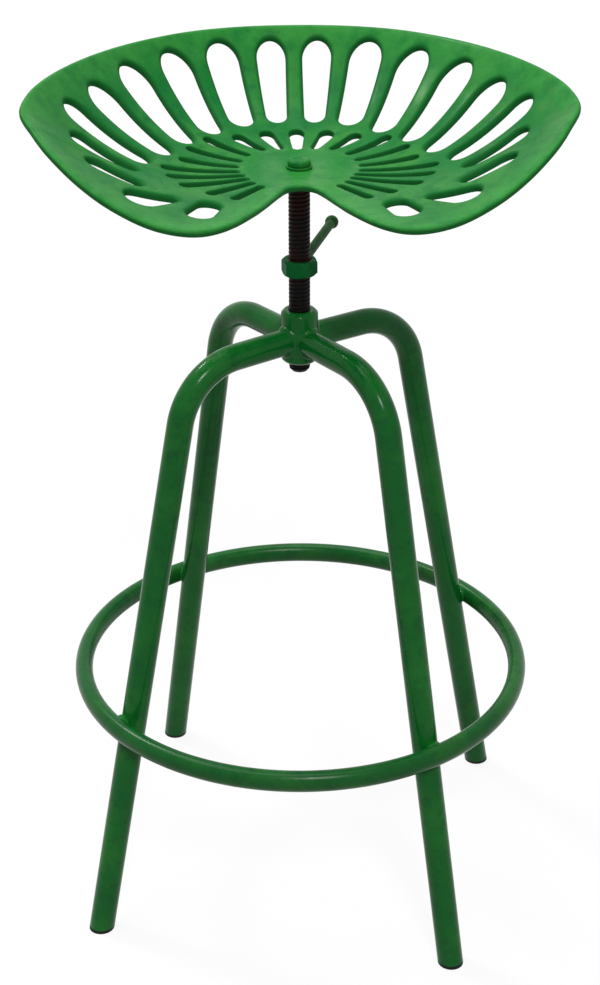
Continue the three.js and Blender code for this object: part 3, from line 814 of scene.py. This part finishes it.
def build_seat():
    places, triangles = fill_face([outline(loops[0][0]) for outline, loops in cuts])
    count, total, first = len(places), 2 * len(places), 0
    faces = [tuple(face) for face in triangles]
    faces += [tuple(corner + count for corner in reversed(face)) for face in triangles]
    under, between, shade_rows = places.copy(), [], [np.zeros(total)]
    for outline, loops in cuts:
        lowest = outline(loops[-1][0])
        size = len(lowest)
        under[first:first + size] = lowest
        starts = [first]
        for grow, depth in loops[1:-1]:
            between.append(on_seat(outline(grow), depth))
            share = max(0.0, 1 - grow / loops[0][0])
            if outline is rim_inset:
                # Painted shade on the rim's edge grows with the depth
                share = depth / SEAT_THICKNESS
            shade_rows.append(np.full(size, share))
            starts.append(total)
            total += size
        starts.append(first + count)
        for upper, lower in zip(starts, starts[1:]):
            faces += bridge(upper, lower, size)
        first += size
    points = [on_seat(places, 0), on_seat(under, SEAT_THICKNESS), *between]
    return np.vstack(points), faces, np.concatenate(shade_rows)


seat_points, seat_faces, seat_painted_shade = build_seat()
seat_pan = add_piece("tractor_seat", seat_points, seat_faces, seat_lit_enamel, "seat", "seat", ["seat_pan"])

# %% [markdown]
# The other two numbers depend only on where a point lies in plan. The first is high in a band
# along the rim, where it paints light on, and round the middle, where the seat is paler, and the
# wear is high about the right corner. Painting them by hand would do too, but distances can be
# changed later with one number.

# %% Store the painted rim light, the paler middle and the wear
CORNER_PLACE = np.array([0.205, -0.03])
CORNER_FADE = (0, 0.075)
# Painted light in a band along the rim
RIM_LIGHT_FADE = (0.0088, 0.0308)
PAINTED_RIM_LIGHT = 0.78
MIDDLE_FADE = (0.036, 0.096)
MIDDLE_SHARE = 0.36


def fading(distance, full_to, gone_at):
    """1 up to the first distance, and evenly less until 0 at the second."""
    return np.clip((gone_at - distance) / (gone_at - full_to), 0, 1)


seat_plan = seat_points[:, :2]
from_corner = np.linalg.norm(seat_plan - CORNER_PLACE, axis=1)
from_middle = np.linalg.norm(seat_plan, axis=1)
from_rim = np.min([np.linalg.norm(seat_plan - place, axis=1) for place in rim_outline], axis=0)
# The painted shade, the painted rim light with the paler middle, and the wear
seat_numbers = {
    "painted_shade": seat_painted_shade,
    "worn": fading(from_corner, *CORNER_FADE) ** 0.5,
    "rim_light_and_pale_middle": np.maximum(
        PAINTED_RIM_LIGHT * fading(from_rim, *RIM_LIGHT_FADE),
        MIDDLE_SHARE * fading(from_middle, *MIDDLE_FADE),
    ),
}
for number_name, numbers in seat_numbers.items():
    attribute = seat_pan.data.attributes.new(number_name, "FLOAT", "POINT")
    attribute.data.foreach_set("value", numbers.astype(np.float32))
    print(number_name, "from", round(float(numbers.min()), 2), "to", round(float(numbers.max()), 2))

# %% [markdown]
# ## The legs
# Each leg is one steel tube: a nearly level arm from the hub, a bend, and a splayed straight leg.
# A curve object with a round bevel would do, but its ends could only be cut square. Here the
# rings of a sweep are made directly, and the points of the end rings slide along the tube until
# they meet the hub or the cut above the foot plug.

# %% Leg sizes and axis
LEG_TURN = math.radians(34.5)
LEG_RADIUS = 0.0125
LEG_WALL = 0.0015
LEG_SPLAY = math.radians(12.13)
FOOT_REACH = 0.2497
ARM_HEIGHT = 0.5803
ARM_DROP = math.radians(0.9)
BEND_RADIUS = 0.066
BEND_STEPS = 40
TUBE_SIDES = 48
HUB_RADIUS = 0.0175
PLUG_LIP = 0.003
GAP = 0.0003
LEG_NAMES = ("back_right", "back_left", "front_left", "front_right")


def leg_path():
    """The bend's points of the leg's axis in the plane Y = 0, with the directions there."""
    arm = np.array([math.cos(ARM_DROP), -math.sin(ARM_DROP)])
    down = np.array([math.sin(LEG_SPLAY), -math.cos(LEG_SPLAY)])
    start = np.array([HUB_RADIUS, ARM_HEIGHT])
    away = np.array([FOOT_REACH, 0]) - start
    cross = arm[0] * down[1] - arm[1] * down[0]
    corner = start + arm * (away[0] * down[1] - away[1] * down[0]) / cross
    bend = math.acos(arm @ down)
    bend_start = corner - arm * BEND_RADIUS * math.tan(bend / 2)
    centre = bend_start + BEND_RADIUS * np.array([arm[1], -arm[0]])
    points, directions = [], []
    for step in range(BEND_STEPS + 1):
        angle = ARM_DROP + bend * step / BEND_STEPS
        points.append(centre + BEND_RADIUS * np.array([math.sin(angle), math.cos(angle)]))
        directions.append(np.array([math.cos(angle), -math.sin(angle)]))
    return points, directions


def leg_rings(radius):
    """Rings of a tube of this radius on the leg's axis, coped to the hub and cut above the plug."""
    points, directions = leg_path()
    angles = full_circle(TUBE_SIDES)
    rings = []
    for (x, z), (along_x, along_z) in zip(points, directions):
        side = np.stack([-along_z * np.cos(angles), np.sin(angles), along_x * np.cos(angles)], 1)
        rings.append(np.array([x, 0, z]) + radius * side)
    arm = np.array([directions[0][0], 0, directions[0][1]])
    hub_x = np.sqrt((HUB_RADIUS + GAP) ** 2 - rings[0][:, 1] ** 2)
    coped = rings[0] + arm * ((hub_x - rings[0][:, 0]) / arm[0])[:, None]
    down = np.array([directions[-1][0], 0, directions[-1][1]])
    cut = rings[-1] + down * ((PLUG_LIP + GAP - rings[-1][:, 2]) / down[2])[:, None]
    return [coped] + rings + [cut]


def to_leg(points, number):
    """The points of a piece drawn along +X, turned to the leg of this number."""
    turn = np.array(Matrix.Rotation(LEG_TURN + number * math.pi / 2, 3, "Z"))
    return points @ turn.T


leg_tube = leg_rings(LEG_RADIUS) + leg_rings(LEG_RADIUS - LEG_WALL)[::-1]
tube_faces = ring_faces(len(leg_tube), TUBE_SIDES, closed=True)
for number, leg_name in enumerate(LEG_NAMES):
    tube_points = to_leg(np.vstack(leg_tube), number)
    add_piece(
        f"bent_leg_{leg_name}", tube_points, tube_faces,
        frame_enamel, "base", "frame", [f"leg_{leg_name}"],
    )

# %% [markdown]
# ## The footrest
# The footrest is a tube rolled into a circle and pressed a little flat, so its section is an
# ellipse. Where it bears on a leg, its inner face is dented to fit: points that would lie in the
# leg are moved out to the leg's surface.

# %% Footrest ring
RING_HEIGHT = 0.230
RING_WIDTH = 0.0175
RING_DEPTH = 0.021
RING_BITE = 0.0008
RING_STEPS = 288
RING_SIDES = 36
leg_reach_at_ring = FOOT_REACH - RING_HEIGHT * math.tan(LEG_SPLAY)
leg_outside_at_ring = leg_reach_at_ring + LEG_RADIUS / math.cos(LEG_SPLAY)
ring_middle = leg_outside_at_ring + RING_WIDTH / 2 - RING_BITE


def leg_frame(number):
    """The leg's outward direction and the direction up its straight part."""
    out = to_leg(np.array([1.0, 0, 0]), number)
    up = np.array([0, 0, math.cos(LEG_SPLAY)]) - out * math.sin(LEG_SPLAY)
    return out, up


def press_against_legs(points):
    for number in range(len(LEG_NAMES)):
        out, up = leg_frame(number)
        from_foot = points - out * FOOT_REACH
        from_axis = from_foot - (from_foot @ up)[:, None] * up
        reach = np.linalg.norm(from_axis, axis=1)
        short = np.clip(LEG_RADIUS + GAP - reach, 0, None)
        points = points + out * (short / math.cos(LEG_SPLAY))[:, None]
    return points


section = full_circle(RING_SIDES)
ring_reach = ring_middle + RING_WIDTH / 2 * np.cos(section)
ring_height = RING_HEIGHT + RING_DEPTH / 2 * np.sin(section)
round_ring, ring_mesh_faces = turned_ring(list(zip(ring_reach, ring_height)), RING_STEPS)
add_piece(
    "rolled_footrest", press_against_legs(np.array(round_ring)), ring_mesh_faces,
    ring_shaded_enamel, "base", "frame", ["footrest_ring"],
)

# %% [markdown]
# ## The hub
# The hub is a turned steel boss. Its profile is a few radii and heights with rounded chamfers, so
# it is turned round the screw's axis like on a lathe.

# %% Hub
hub_low, hub_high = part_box("hub")
HUB_CHAMFER = 0.003
HUB_BORE = SCREW_RADIUS + GAP
HUB_SIDES = 96
HUB_SOFTEN = 0.0009
LARGEST_CUT = 0.45


def softened(profile, size, steps=4):
    """The closed profile with each corner replaced by a small curve."""
    made = []
    count = len(profile)
    for index, corner in enumerate(np.array(profile)):
        before = np.array(profile[index - 1]) - corner
        after = np.array(profile[(index + 1) % count]) - corner
        start = corner + before * min(LARGEST_CUT, size / np.linalg.norm(before))
        end = corner + after * min(LARGEST_CUT, size / np.linalg.norm(after))
        for share in np.arange(steps + 1) / steps:
            rest = 1 - share
            made.append(rest**2 * start + 2 * share * rest * corner + share**2 * end)
    return made


hub_profile = softened([
    (HUB_BORE, hub_low.z),
    (HUB_RADIUS - HUB_CHAMFER, hub_low.z),
    (HUB_RADIUS, hub_low.z + HUB_CHAMFER),
    (HUB_RADIUS, hub_high.z - HUB_CHAMFER),
    (HUB_RADIUS - HUB_CHAMFER, hub_high.z),
    (HUB_BORE, hub_high.z),
], HUB_SOFTEN)
add_piece("threaded_hub", *turned_ring(hub_profile, HUB_SIDES), frame_enamel, "base", "frame", ["hub"])

# %% [markdown]
# ## The welds
# The legs are welded to the hub, and the footrest to the legs. Such a fillet weld fills the corner
# where two surfaces meet. Its face shows the small even ripples of the torch's steps, softened here
# by the paint. A round tube laid along the joint would look like a rope. So each weld is swept
# between three closed lines: the corner itself and the two lines where the weld's face ends.

# %% Sweep a fillet weld between three lines
FACE_STEPS = 6
WELD_STEPS = 180
WELD_BULGE = 0.0003
RIPPLE_HEIGHT = 0.00022
RIPPLE_LENGTH = 0.0021
weld_angles = full_circle(WELD_STEPS)


def weld_mesh(corner, first_toe, second_toe):
    lengths = np.linalg.norm(first_toe - np.roll(first_toe, 1, 0), axis=1)
    ripples = max(1, round(lengths.sum() / RIPPLE_LENGTH))
    run = np.cumsum(lengths) / lengths.sum() * ripples
    height = WELD_BULGE + RIPPLE_HEIGHT * np.abs(np.sin(math.pi * run))
    outward = (first_toe + second_toe) / 2 - corner
    outward /= np.linalg.norm(outward, axis=1)[:, None]
    rows = [corner]
    for share in np.arange(FACE_STEPS + 1) / FACE_STEPS:
        bulge = (height * math.sin(math.pi * share))[:, None] * outward
        rows.append(first_toe + (second_toe - first_toe) * share + bulge)
    points = np.stack(rows, 1).reshape(-1, 3)
    return points, ring_faces(len(corner), len(rows), closed=True)


# %% Welds between the arms and the hub
HUB_WELD = 0.0034
WELD_ROOT = 0.0006


def hub_weld_line(radius, forward):
    """Points where a tube of this radius along X meets the hub, moved forward along the arm."""
    across = radius * np.sin(weld_angles)
    out = np.sqrt(HUB_RADIUS**2 - across**2) + forward
    return np.stack([out, across, ARM_HEIGHT + radius * np.cos(weld_angles)], 1)


hub_weld = weld_mesh(
    hub_weld_line(LEG_RADIUS - WELD_ROOT, -WELD_ROOT / 2),
    hub_weld_line(LEG_RADIUS + HUB_WELD, 0),
    hub_weld_line(LEG_RADIUS, HUB_WELD),
)
for number, leg_name in enumerate(LEG_NAMES):
    weld_points = to_leg(hub_weld[0], number)
    add_piece(f"weld_hub_{leg_name}", weld_points, hub_weld[1], frame_enamel, "base", "frame")

# %% [markdown]
# At the footrest, the ring and the leg touch over a small patch, and the weld lies in the groove
# round it. Points on circles round the patch are moved onto the leg and onto the ring, which gives
# the lines for the same sweep.

# %% Welds between the footrest and the legs
RING_WELD_START = 0.0062
RING_WELD_END = 0.0095


def onto_leg(points, number):
    out, up = leg_frame(number)
    foot = out * FOOT_REACH
    along = ((points - foot) @ up)[:, None] * up
    across = points - foot - along
    return foot + along + across * (LEG_RADIUS / np.linalg.norm(across, axis=1))[:, None]


def onto_ring(points):
    flat = np.linalg.norm(points[:, :2], axis=1)
    height = (points[:, 2] - RING_HEIGHT) / (RING_DEPTH / 2)
    inward = RING_WIDTH / 2 * np.sqrt(np.clip(1 - height**2, 0, 1))
    reach = ring_middle - inward
    return np.stack([points[:, 0] * reach / flat, points[:, 1] * reach / flat, points[:, 2]], 1)


def footrest_weld(number):
    out, up = leg_frame(number)
    sideways = np.array([-out[1], out[0], 0])
    patch = out * leg_outside_at_ring + np.array([0, 0, RING_HEIGHT])
    circle = np.cos(weld_angles)[:, None] * sideways + np.sin(weld_angles)[:, None] * up
    near, far = patch + RING_WELD_START * circle, patch + RING_WELD_END * circle
    corner = (onto_leg(near, number) + onto_ring(near)) / 2
    return weld_mesh(corner, onto_leg(far, number), onto_ring(far))


for number, leg_name in enumerate(LEG_NAMES):
    add_piece(f"weld_footrest_{leg_name}", *footrest_weld(number), frame_enamel, "base", "frame")

# %% [markdown]
# ## The screw
# The thread is 20 mm across with a 4 mm pitch. It is shallow, with broad crests, for its outline
# in the photograph is nearly smooth. Bump could fake it, but then the light would not fall into
# the grooves. So the thread's section is swept up a helix: each column of points sits one step
# further round and a little higher, and its top joins the bottom of the column one turn later.
# The sweep is made too long and both ends are cut off flat.

# %% Threaded screw
screw_low, screw_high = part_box("screw")
PITCH = 0.004
CREST_SHARE = 0.55
FLANK_SHARE = 0.12
THREAD_STEPS = 48
SPARE_TURNS = 3
SCREW_NOSE = 0.003
CORNER_SHARE = 0.02
SHOULDER = 0.92
# Places up the thread as shares of its pitch, each with the share of its depth
THREAD_SHARES = [
    (0, 0),
    (FLANK_SHARE - CORNER_SHARE, SHOULDER),
    (FLANK_SHARE + CORNER_SHARE, 1),
    (FLANK_SHARE + CREST_SHARE - CORNER_SHARE, 1),
    (FLANK_SHARE + CREST_SHARE + CORNER_SHARE, SHOULDER),
    (2 * FLANK_SHARE + CREST_SHARE, 0),
]


def thread_mesh():
    root = SCREW_RADIUS - THREAD_DEPTH
    turns = math.ceil((screw_high.z - screw_low.z) / PITCH) + SPARE_TURNS
    columns = turns * THREAD_STEPS
    levels = len(THREAD_SHARES)
    points = []
    for column in range(columns + 1):
        angle = column * FULL_TURN / THREAD_STEPS
        base = screw_low.z - SPARE_TURNS / 2 * PITCH + column * PITCH / THREAD_STEPS
        for share, height in THREAD_SHARES:
            z = base + share * PITCH
            nose = SCREW_RADIUS - SCREW_NOSE + max(0, z - screw_low.z)
            radius = min(root + THREAD_DEPTH * height, nose)
            points.append((radius * math.cos(angle), radius * math.sin(angle), z))
    faces = []
    for column in range(columns):
        near, far = column * levels, (column + 1) * levels
        faces.extend((near + k, far + k, far + k + 1, near + k + 1) for k in range(levels - 1))
        if column + 1 + THREAD_STEPS <= columns:
            above = THREAD_STEPS * levels
            faces.append((near + levels - 1, far + levels - 1, far + above, near + above))
    return points, faces


def cut_level(mesh, height, keep_above):
    """Cuts the mesh off flat at a height and closes the cut."""
    cut = bmesh.new()
    cut.from_mesh(mesh)
    everything = cut.verts[:] + cut.edges[:] + cut.faces[:]
    made = bmesh.ops.bisect_plane(
        cut, geom=everything, plane_co=(0, 0, height), plane_no=(0, 0, 1),
        clear_inner=keep_above, clear_outer=not keep_above,
    )
    rim_edges = [item for item in made["geom_cut"] if isinstance(item, bmesh.types.BMEdge)]
    bmesh.ops.edgeloop_fill(cut, edges=rim_edges)
    bmesh.ops.recalc_face_normals(cut, faces=cut.faces)
    cut.to_mesh(mesh)
    cut.free()


screw = add_piece("threaded_screw", *thread_mesh(), blackened_steel, "seat", "thread", ["screw"])
cut_level(screw.data, screw_low.z, keep_above=True)
cut_level(screw.data, screw_high.z, keep_above=False)
screw.data.set_sharp_from_angle(angle=SMOOTH_ANGLE)
print("screw from", round(screw_low.z, 4), "to", round(screw_high.z, 4))

# %% [markdown]
# ## The small fittings
# The lock nut, its bush, the plugs and the seat's fastenings have the right shapes already. Their
# solids stay, and a Bevel modifier rounds their sharp edges, so that the edges catch the light as
# real ones do.

# %% Rounded edges and finishes for the carried-over solids
FITTINGS = {
    "lock_nut": (nut_enamel, 0.0007),
    "lock_nut_bush": (blackened_steel, 0.0002),
    "seat_flange": (frame_enamel, 0.0006),
    "seat_dowel": (blackened_steel, 0.0003),
    "seat_washer": (seat_lit_enamel, 0.0005),
}
FITTINGS.update({f"foot_plug_{leg_name}": (plug_rubber, 0.0005) for leg_name in LEG_NAMES})


def dress_solid(name, material, rounding):
    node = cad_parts[name]
    node.data.materials.clear()
    node.data.materials.append(material)
    node.data.shade_smooth()
    bevel = node.modifiers.new("rounded edges", "BEVEL")
    bevel.width = rounding
    bevel.segments = 3
    bevel.limit_method = "ANGLE"
    bevel.angle_limit = SMOOTH_ANGLE
    bevel.harden_normals = True


for node_name, (finish, rounding) in FITTINGS.items():
    dress_solid(node_name, finish, rounding)
print("dressed", len(FITTINGS), "solids")

# %% [markdown]
# The bolt in the middle of the seat has a round head with upright sides, painted over with the
# seat. Its sides are painted a little darker, which is painted shade. Its solid is a plain dome,
# so a turned head takes its place.

# %% Seat bolt
BOLT_LENGTH = 0.030
BOLT_RADIUS = 0.0055
HEAD_RADIUS = 0.0105
HEAD_SHOULDER = 0.0028
HEAD_CROWN = 0.0003
BOLT_SIDES = 48
SIDE_SHADE = 0.3
QUARTER_SHARES = np.arange(7) / 6
bolt_low, bolt_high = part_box("seat_bolt")
head_bottom = bolt_low.z + BOLT_LENGTH
shoulder_height = bolt_high.z - HEAD_CROWN
bolt_profile = [(BOLT_RADIUS, bolt_low.z), (BOLT_RADIUS, head_bottom), (HEAD_RADIUS, head_bottom)]
for share in QUARTER_SHARES:
    angle = share * math.pi / 2
    bolt_profile.append((
        HEAD_RADIUS - HEAD_SHOULDER * (1 - math.cos(angle)),
        shoulder_height - HEAD_SHOULDER * (1 - math.sin(angle)),
    ))
bolt_profile.append((HEAD_RADIUS / 2, bolt_high.z - HEAD_CROWN / 3))
bolt_profile.append((HEAD_RADIUS / 20, bolt_high.z))
bolt_points, bolt_faces = turned(bolt_profile, BOLT_SIDES)
bolt = add_piece("painted_bolt", bolt_points, bolt_faces, seat_lit_enamel, "seat", "seat", ["seat_bolt"])
# Painted shade on the head's sides and the shank
on_side = np.array([point[2] < shoulder_height - HEAD_SHOULDER / 2 for point in bolt_points])
bolt_shade = bolt.data.attributes.new("painted_shade", "FLOAT", "POINT")
bolt_shade.data.foreach_set("value", on_side * SIDE_SHADE)

# %% [markdown]
# The lever is a turned rod with a ball on its end. Both are turned round the rod's own axis and
# then laid along the lever's direction, at the height of the nut.

# %% Lever and ball
nut_low, nut_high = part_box("lock_nut")
NUT_MIDDLE = (nut_low.z + nut_high.z) / 2
NUT_FLATS = 0.030
LEVER_TURN = math.radians(74.1)
LEVER_RADIUS = 0.0045
LEVER_REACH = 0.130
LEVER_SHANK_RADIUS = 0.0035
LEVER_SHANK = 0.0026
BALL_RADIUS = 0.0067
LEVER_SIDES = 40
FILLET = 0.0015
BALL_STEPS = 24
BALL_END = 0.06
BALL_MOUTH = 0.98
ROD_IN_BALL = 0.001
lever_place = (
    Matrix.Translation((0, 0, NUT_MIDDLE))
    @ Matrix.Rotation(LEVER_TURN, 4, "Z")
    @ Matrix.Rotation(math.pi / 2, 4, "Y")
)


def add_on_lever(name, profile, stands_for):
    points, faces = turned(profile, LEVER_SIDES)
    placed = [lever_place @ Vector(point) for point in points]
    add_piece(name, placed, faces, lever_enamel, "lock_nut", "frame", [stands_for])


rod_start = NUT_FLATS / 2 + GAP
rod_profile = [(LEVER_SHANK_RADIUS, NUT_FLATS / 2 - LEVER_SHANK), (LEVER_SHANK_RADIUS, rod_start)]
for share in QUARTER_SHARES:
    swell = (LEVER_RADIUS - LEVER_SHANK_RADIUS) * math.sin(share * math.pi / 2)
    rod_profile.append((LEVER_SHANK_RADIUS + swell, rod_start + FILLET * share))
rod_profile.append((LEVER_RADIUS, LEVER_REACH - BALL_RADIUS + ROD_IN_BALL))
add_on_lever("lever_rod", rod_profile, "lock_lever")

ball_start = math.pi - math.asin(LEVER_RADIUS * BALL_MOUTH / BALL_RADIUS)
ball_profile = []
for angle in np.linspace(ball_start, BALL_END, BALL_STEPS + 1):
    height = LEVER_REACH + BALL_RADIUS * math.cos(angle)
    ball_profile.append((BALL_RADIUS * math.sin(angle), height))
add_on_lever("lever_knob", ball_profile, "lever_ball")

# %% [markdown]
# ## Light, floor and camera
# The photograph was taken in a studio. Most light comes from a very wide lamp overhead, for level
# faces are brighter than upright ones. A smaller one above the camera draws the highlights along
# the tubes, and a weaker one stands behind on the left. The lamps are suns with a soft edge, so
# that the floor is lit evenly as far as it goes.

# %% Lamps
TOP_LAMP = {"azimuth": -45, "elevation": 76, "strength": 1.75, "softness": 50}
KEY_LAMP = {"azimuth": 172, "elevation": 46, "strength": 1.3, "softness": 12}
BACK_LAMP = {"azimuth": -50, "elevation": 50, "strength": 0.8, "softness": 9}


def add_sun(name, azimuth, elevation, strength, softness):
    """A soft sun. Azimuth 0 is behind the stool, 90 on the right and 180 on the camera's side."""
    lamp = bpy.data.lights.new(name, "SUN")
    lamp.energy = strength
    lamp.angle = math.radians(softness)
    holder = place_object(name, lamp)
    turn, rise = math.radians(azimuth), math.radians(elevation)
    level = math.cos(rise)
    source = Vector((math.sin(turn) * level, math.cos(turn) * level, math.sin(rise)))
    holder.rotation_euler = source.to_track_quat("Z", "Y").to_euler()


add_sun("top_lamp", **TOP_LAMP)
add_sun("key_lamp", **KEY_LAMP)
add_sun("back_lamp", **BACK_LAMP)
print("lamps", [lamp.name for lamp in bpy.data.lights])

# %% [markdown]
# The surroundings play two parts. They light the stool softly, which asks for a medium grey, and
# they are the white that the camera sees, also mirrored in the gloss. The Light Path node tells
# which kind of ray arrives, and so one world can be both.

# %% World
SOFT_LIGHT = 0.18


def seen_rays(tree):
    """1 for rays of the camera, in a reflection or through glass, and 0 for all others."""
    rays = add_node(tree, "ShaderNodeLightPath")
    seen = rays.outputs["Is Camera Ray"]
    for kind in ("Is Glossy Ray", "Is Transmission Ray"):
        seen = combine(tree, "MAXIMUM", seen, rays.outputs[kind])
    return seen


world = bpy.data.worlds.new("studio")
bpy.context.scene.world = world
world.use_nodes = True
background = world.node_tree.nodes["Background"]
background.inputs["Color"].default_value = (1, 1, 1, 1)
strength = remap(world.node_tree, seen_rays(world.node_tree), 0, 1, SOFT_LIGHT, 1)
world.node_tree.links.new(strength, background.inputs["Strength"])
print("light from all round", SOFT_LIGHT)

# %% [markdown]
# The floor is a very wide pale disc. To the camera and in reflections it is nearly white by
# itself, and only a share of its look comes from the light on it. That share carries the stool's
# shadow. For the light that it throws back up, it is a middling grey, as a studio floor is. It
# lies a hair below the soles, since two faces in one plane would flicker.

# %% Floor
FLOOR_REACH = 40.0
FLOOR_SIDES = 64
FLOOR_DROP = 0.0002
SHADE_SHARE = 0.12
PAPER_DULL = (0.93, 0.93, 0.93, 1)
PAPER_BRIGHT = (0.96, 0.96, 0.96, 1)
FLOOR_GREY = (0.30, 0.30, 0.30, 1)
PAPER_SCALE = 30.0


def make_paper():
    material, tree, shader, place = new_material("backdrop_paper")
    grain = remap(tree, noise(tree, place, PAPER_SCALE, 3), 0.3, 0.7)
    seen = seen_rays(tree)
    paper = mix_colour(tree, grain, PAPER_DULL, PAPER_BRIGHT)
    tree.links.new(mix_colour(tree, seen, FLOOR_GREY, paper), shader.inputs["Base Color"])
    set_inputs(shader, Roughness=1.0, Specular_IOR_Level=0.0)
    white = add_node(tree, "ShaderNodeEmission")
    mix = add_node(tree, "ShaderNodeMixShader")
    tree.links.new(remap(tree, seen, 0, 1, 0, 1 - SHADE_SHARE), mix.inputs[0])
    tree.links.new(shader.outputs[0], mix.inputs[1])
    tree.links.new(white.outputs[0], mix.inputs[2])
    tree.links.new(mix.outputs[0], tree.nodes["Material Output"].inputs["Surface"])
    return material


floor_mesh = bpy.data.meshes.new("floor")
floor_rim = [
    (FLOOR_REACH * math.cos(angle), FLOOR_REACH * math.sin(angle), -FLOOR_DROP)
    for angle in full_circle(FLOOR_SIDES)
]
floor_mesh.from_pydata(floor_rim, [], [tuple(range(FLOOR_SIDES))])
floor_mesh.materials.append(make_paper())
floor = place_object("floor", floor_mesh)
print("floor", 2 * FLOOR_REACH, "m across")

# %% [markdown]
# The camera stands where the photograph was taken from. Its place was worked out from the picture:
# the footrest is a true circle, and the four feet stand on one floor, which together fix the
# distance, the height and the lens.

# %% Camera
PHOTO_LONG_SIDE = 985
FOCAL_PIXELS = 1896.08
SENSOR = 36.0
CAMERA_DISTANCE = 1.66368
CAMERA_HEIGHT = 1.25818
CAMERA_TURN = math.radians(-1.65)
CAMERA_PITCH = math.radians(26.815)
CAMERA_ROLL = math.radians(-0.15)

camera_data = bpy.data.cameras.new("camera")
camera_data.sensor_width = SENSOR
camera_data.lens = FOCAL_PIXELS * SENSOR / PHOTO_LONG_SIDE
camera = place_object("camera", camera_data)
bpy.context.scene.camera = camera
camera.matrix_world = (
    Matrix.Rotation(CAMERA_TURN, 4, "Z")
    @ Matrix.Translation((0, -CAMERA_DISTANCE, CAMERA_HEIGHT))
    @ Matrix.Rotation(math.pi / 2 - CAMERA_PITCH, 4, "X")
    @ Matrix.Rotation(CAMERA_ROLL, 4, "Z")
)
bpy.context.scene.view_settings.view_transform = "Standard"
camera_place = [round(number, 3) for number in camera.matrix_world.translation]
print("lens", round(camera_data.lens, 2), "mm, camera at", camera_place)
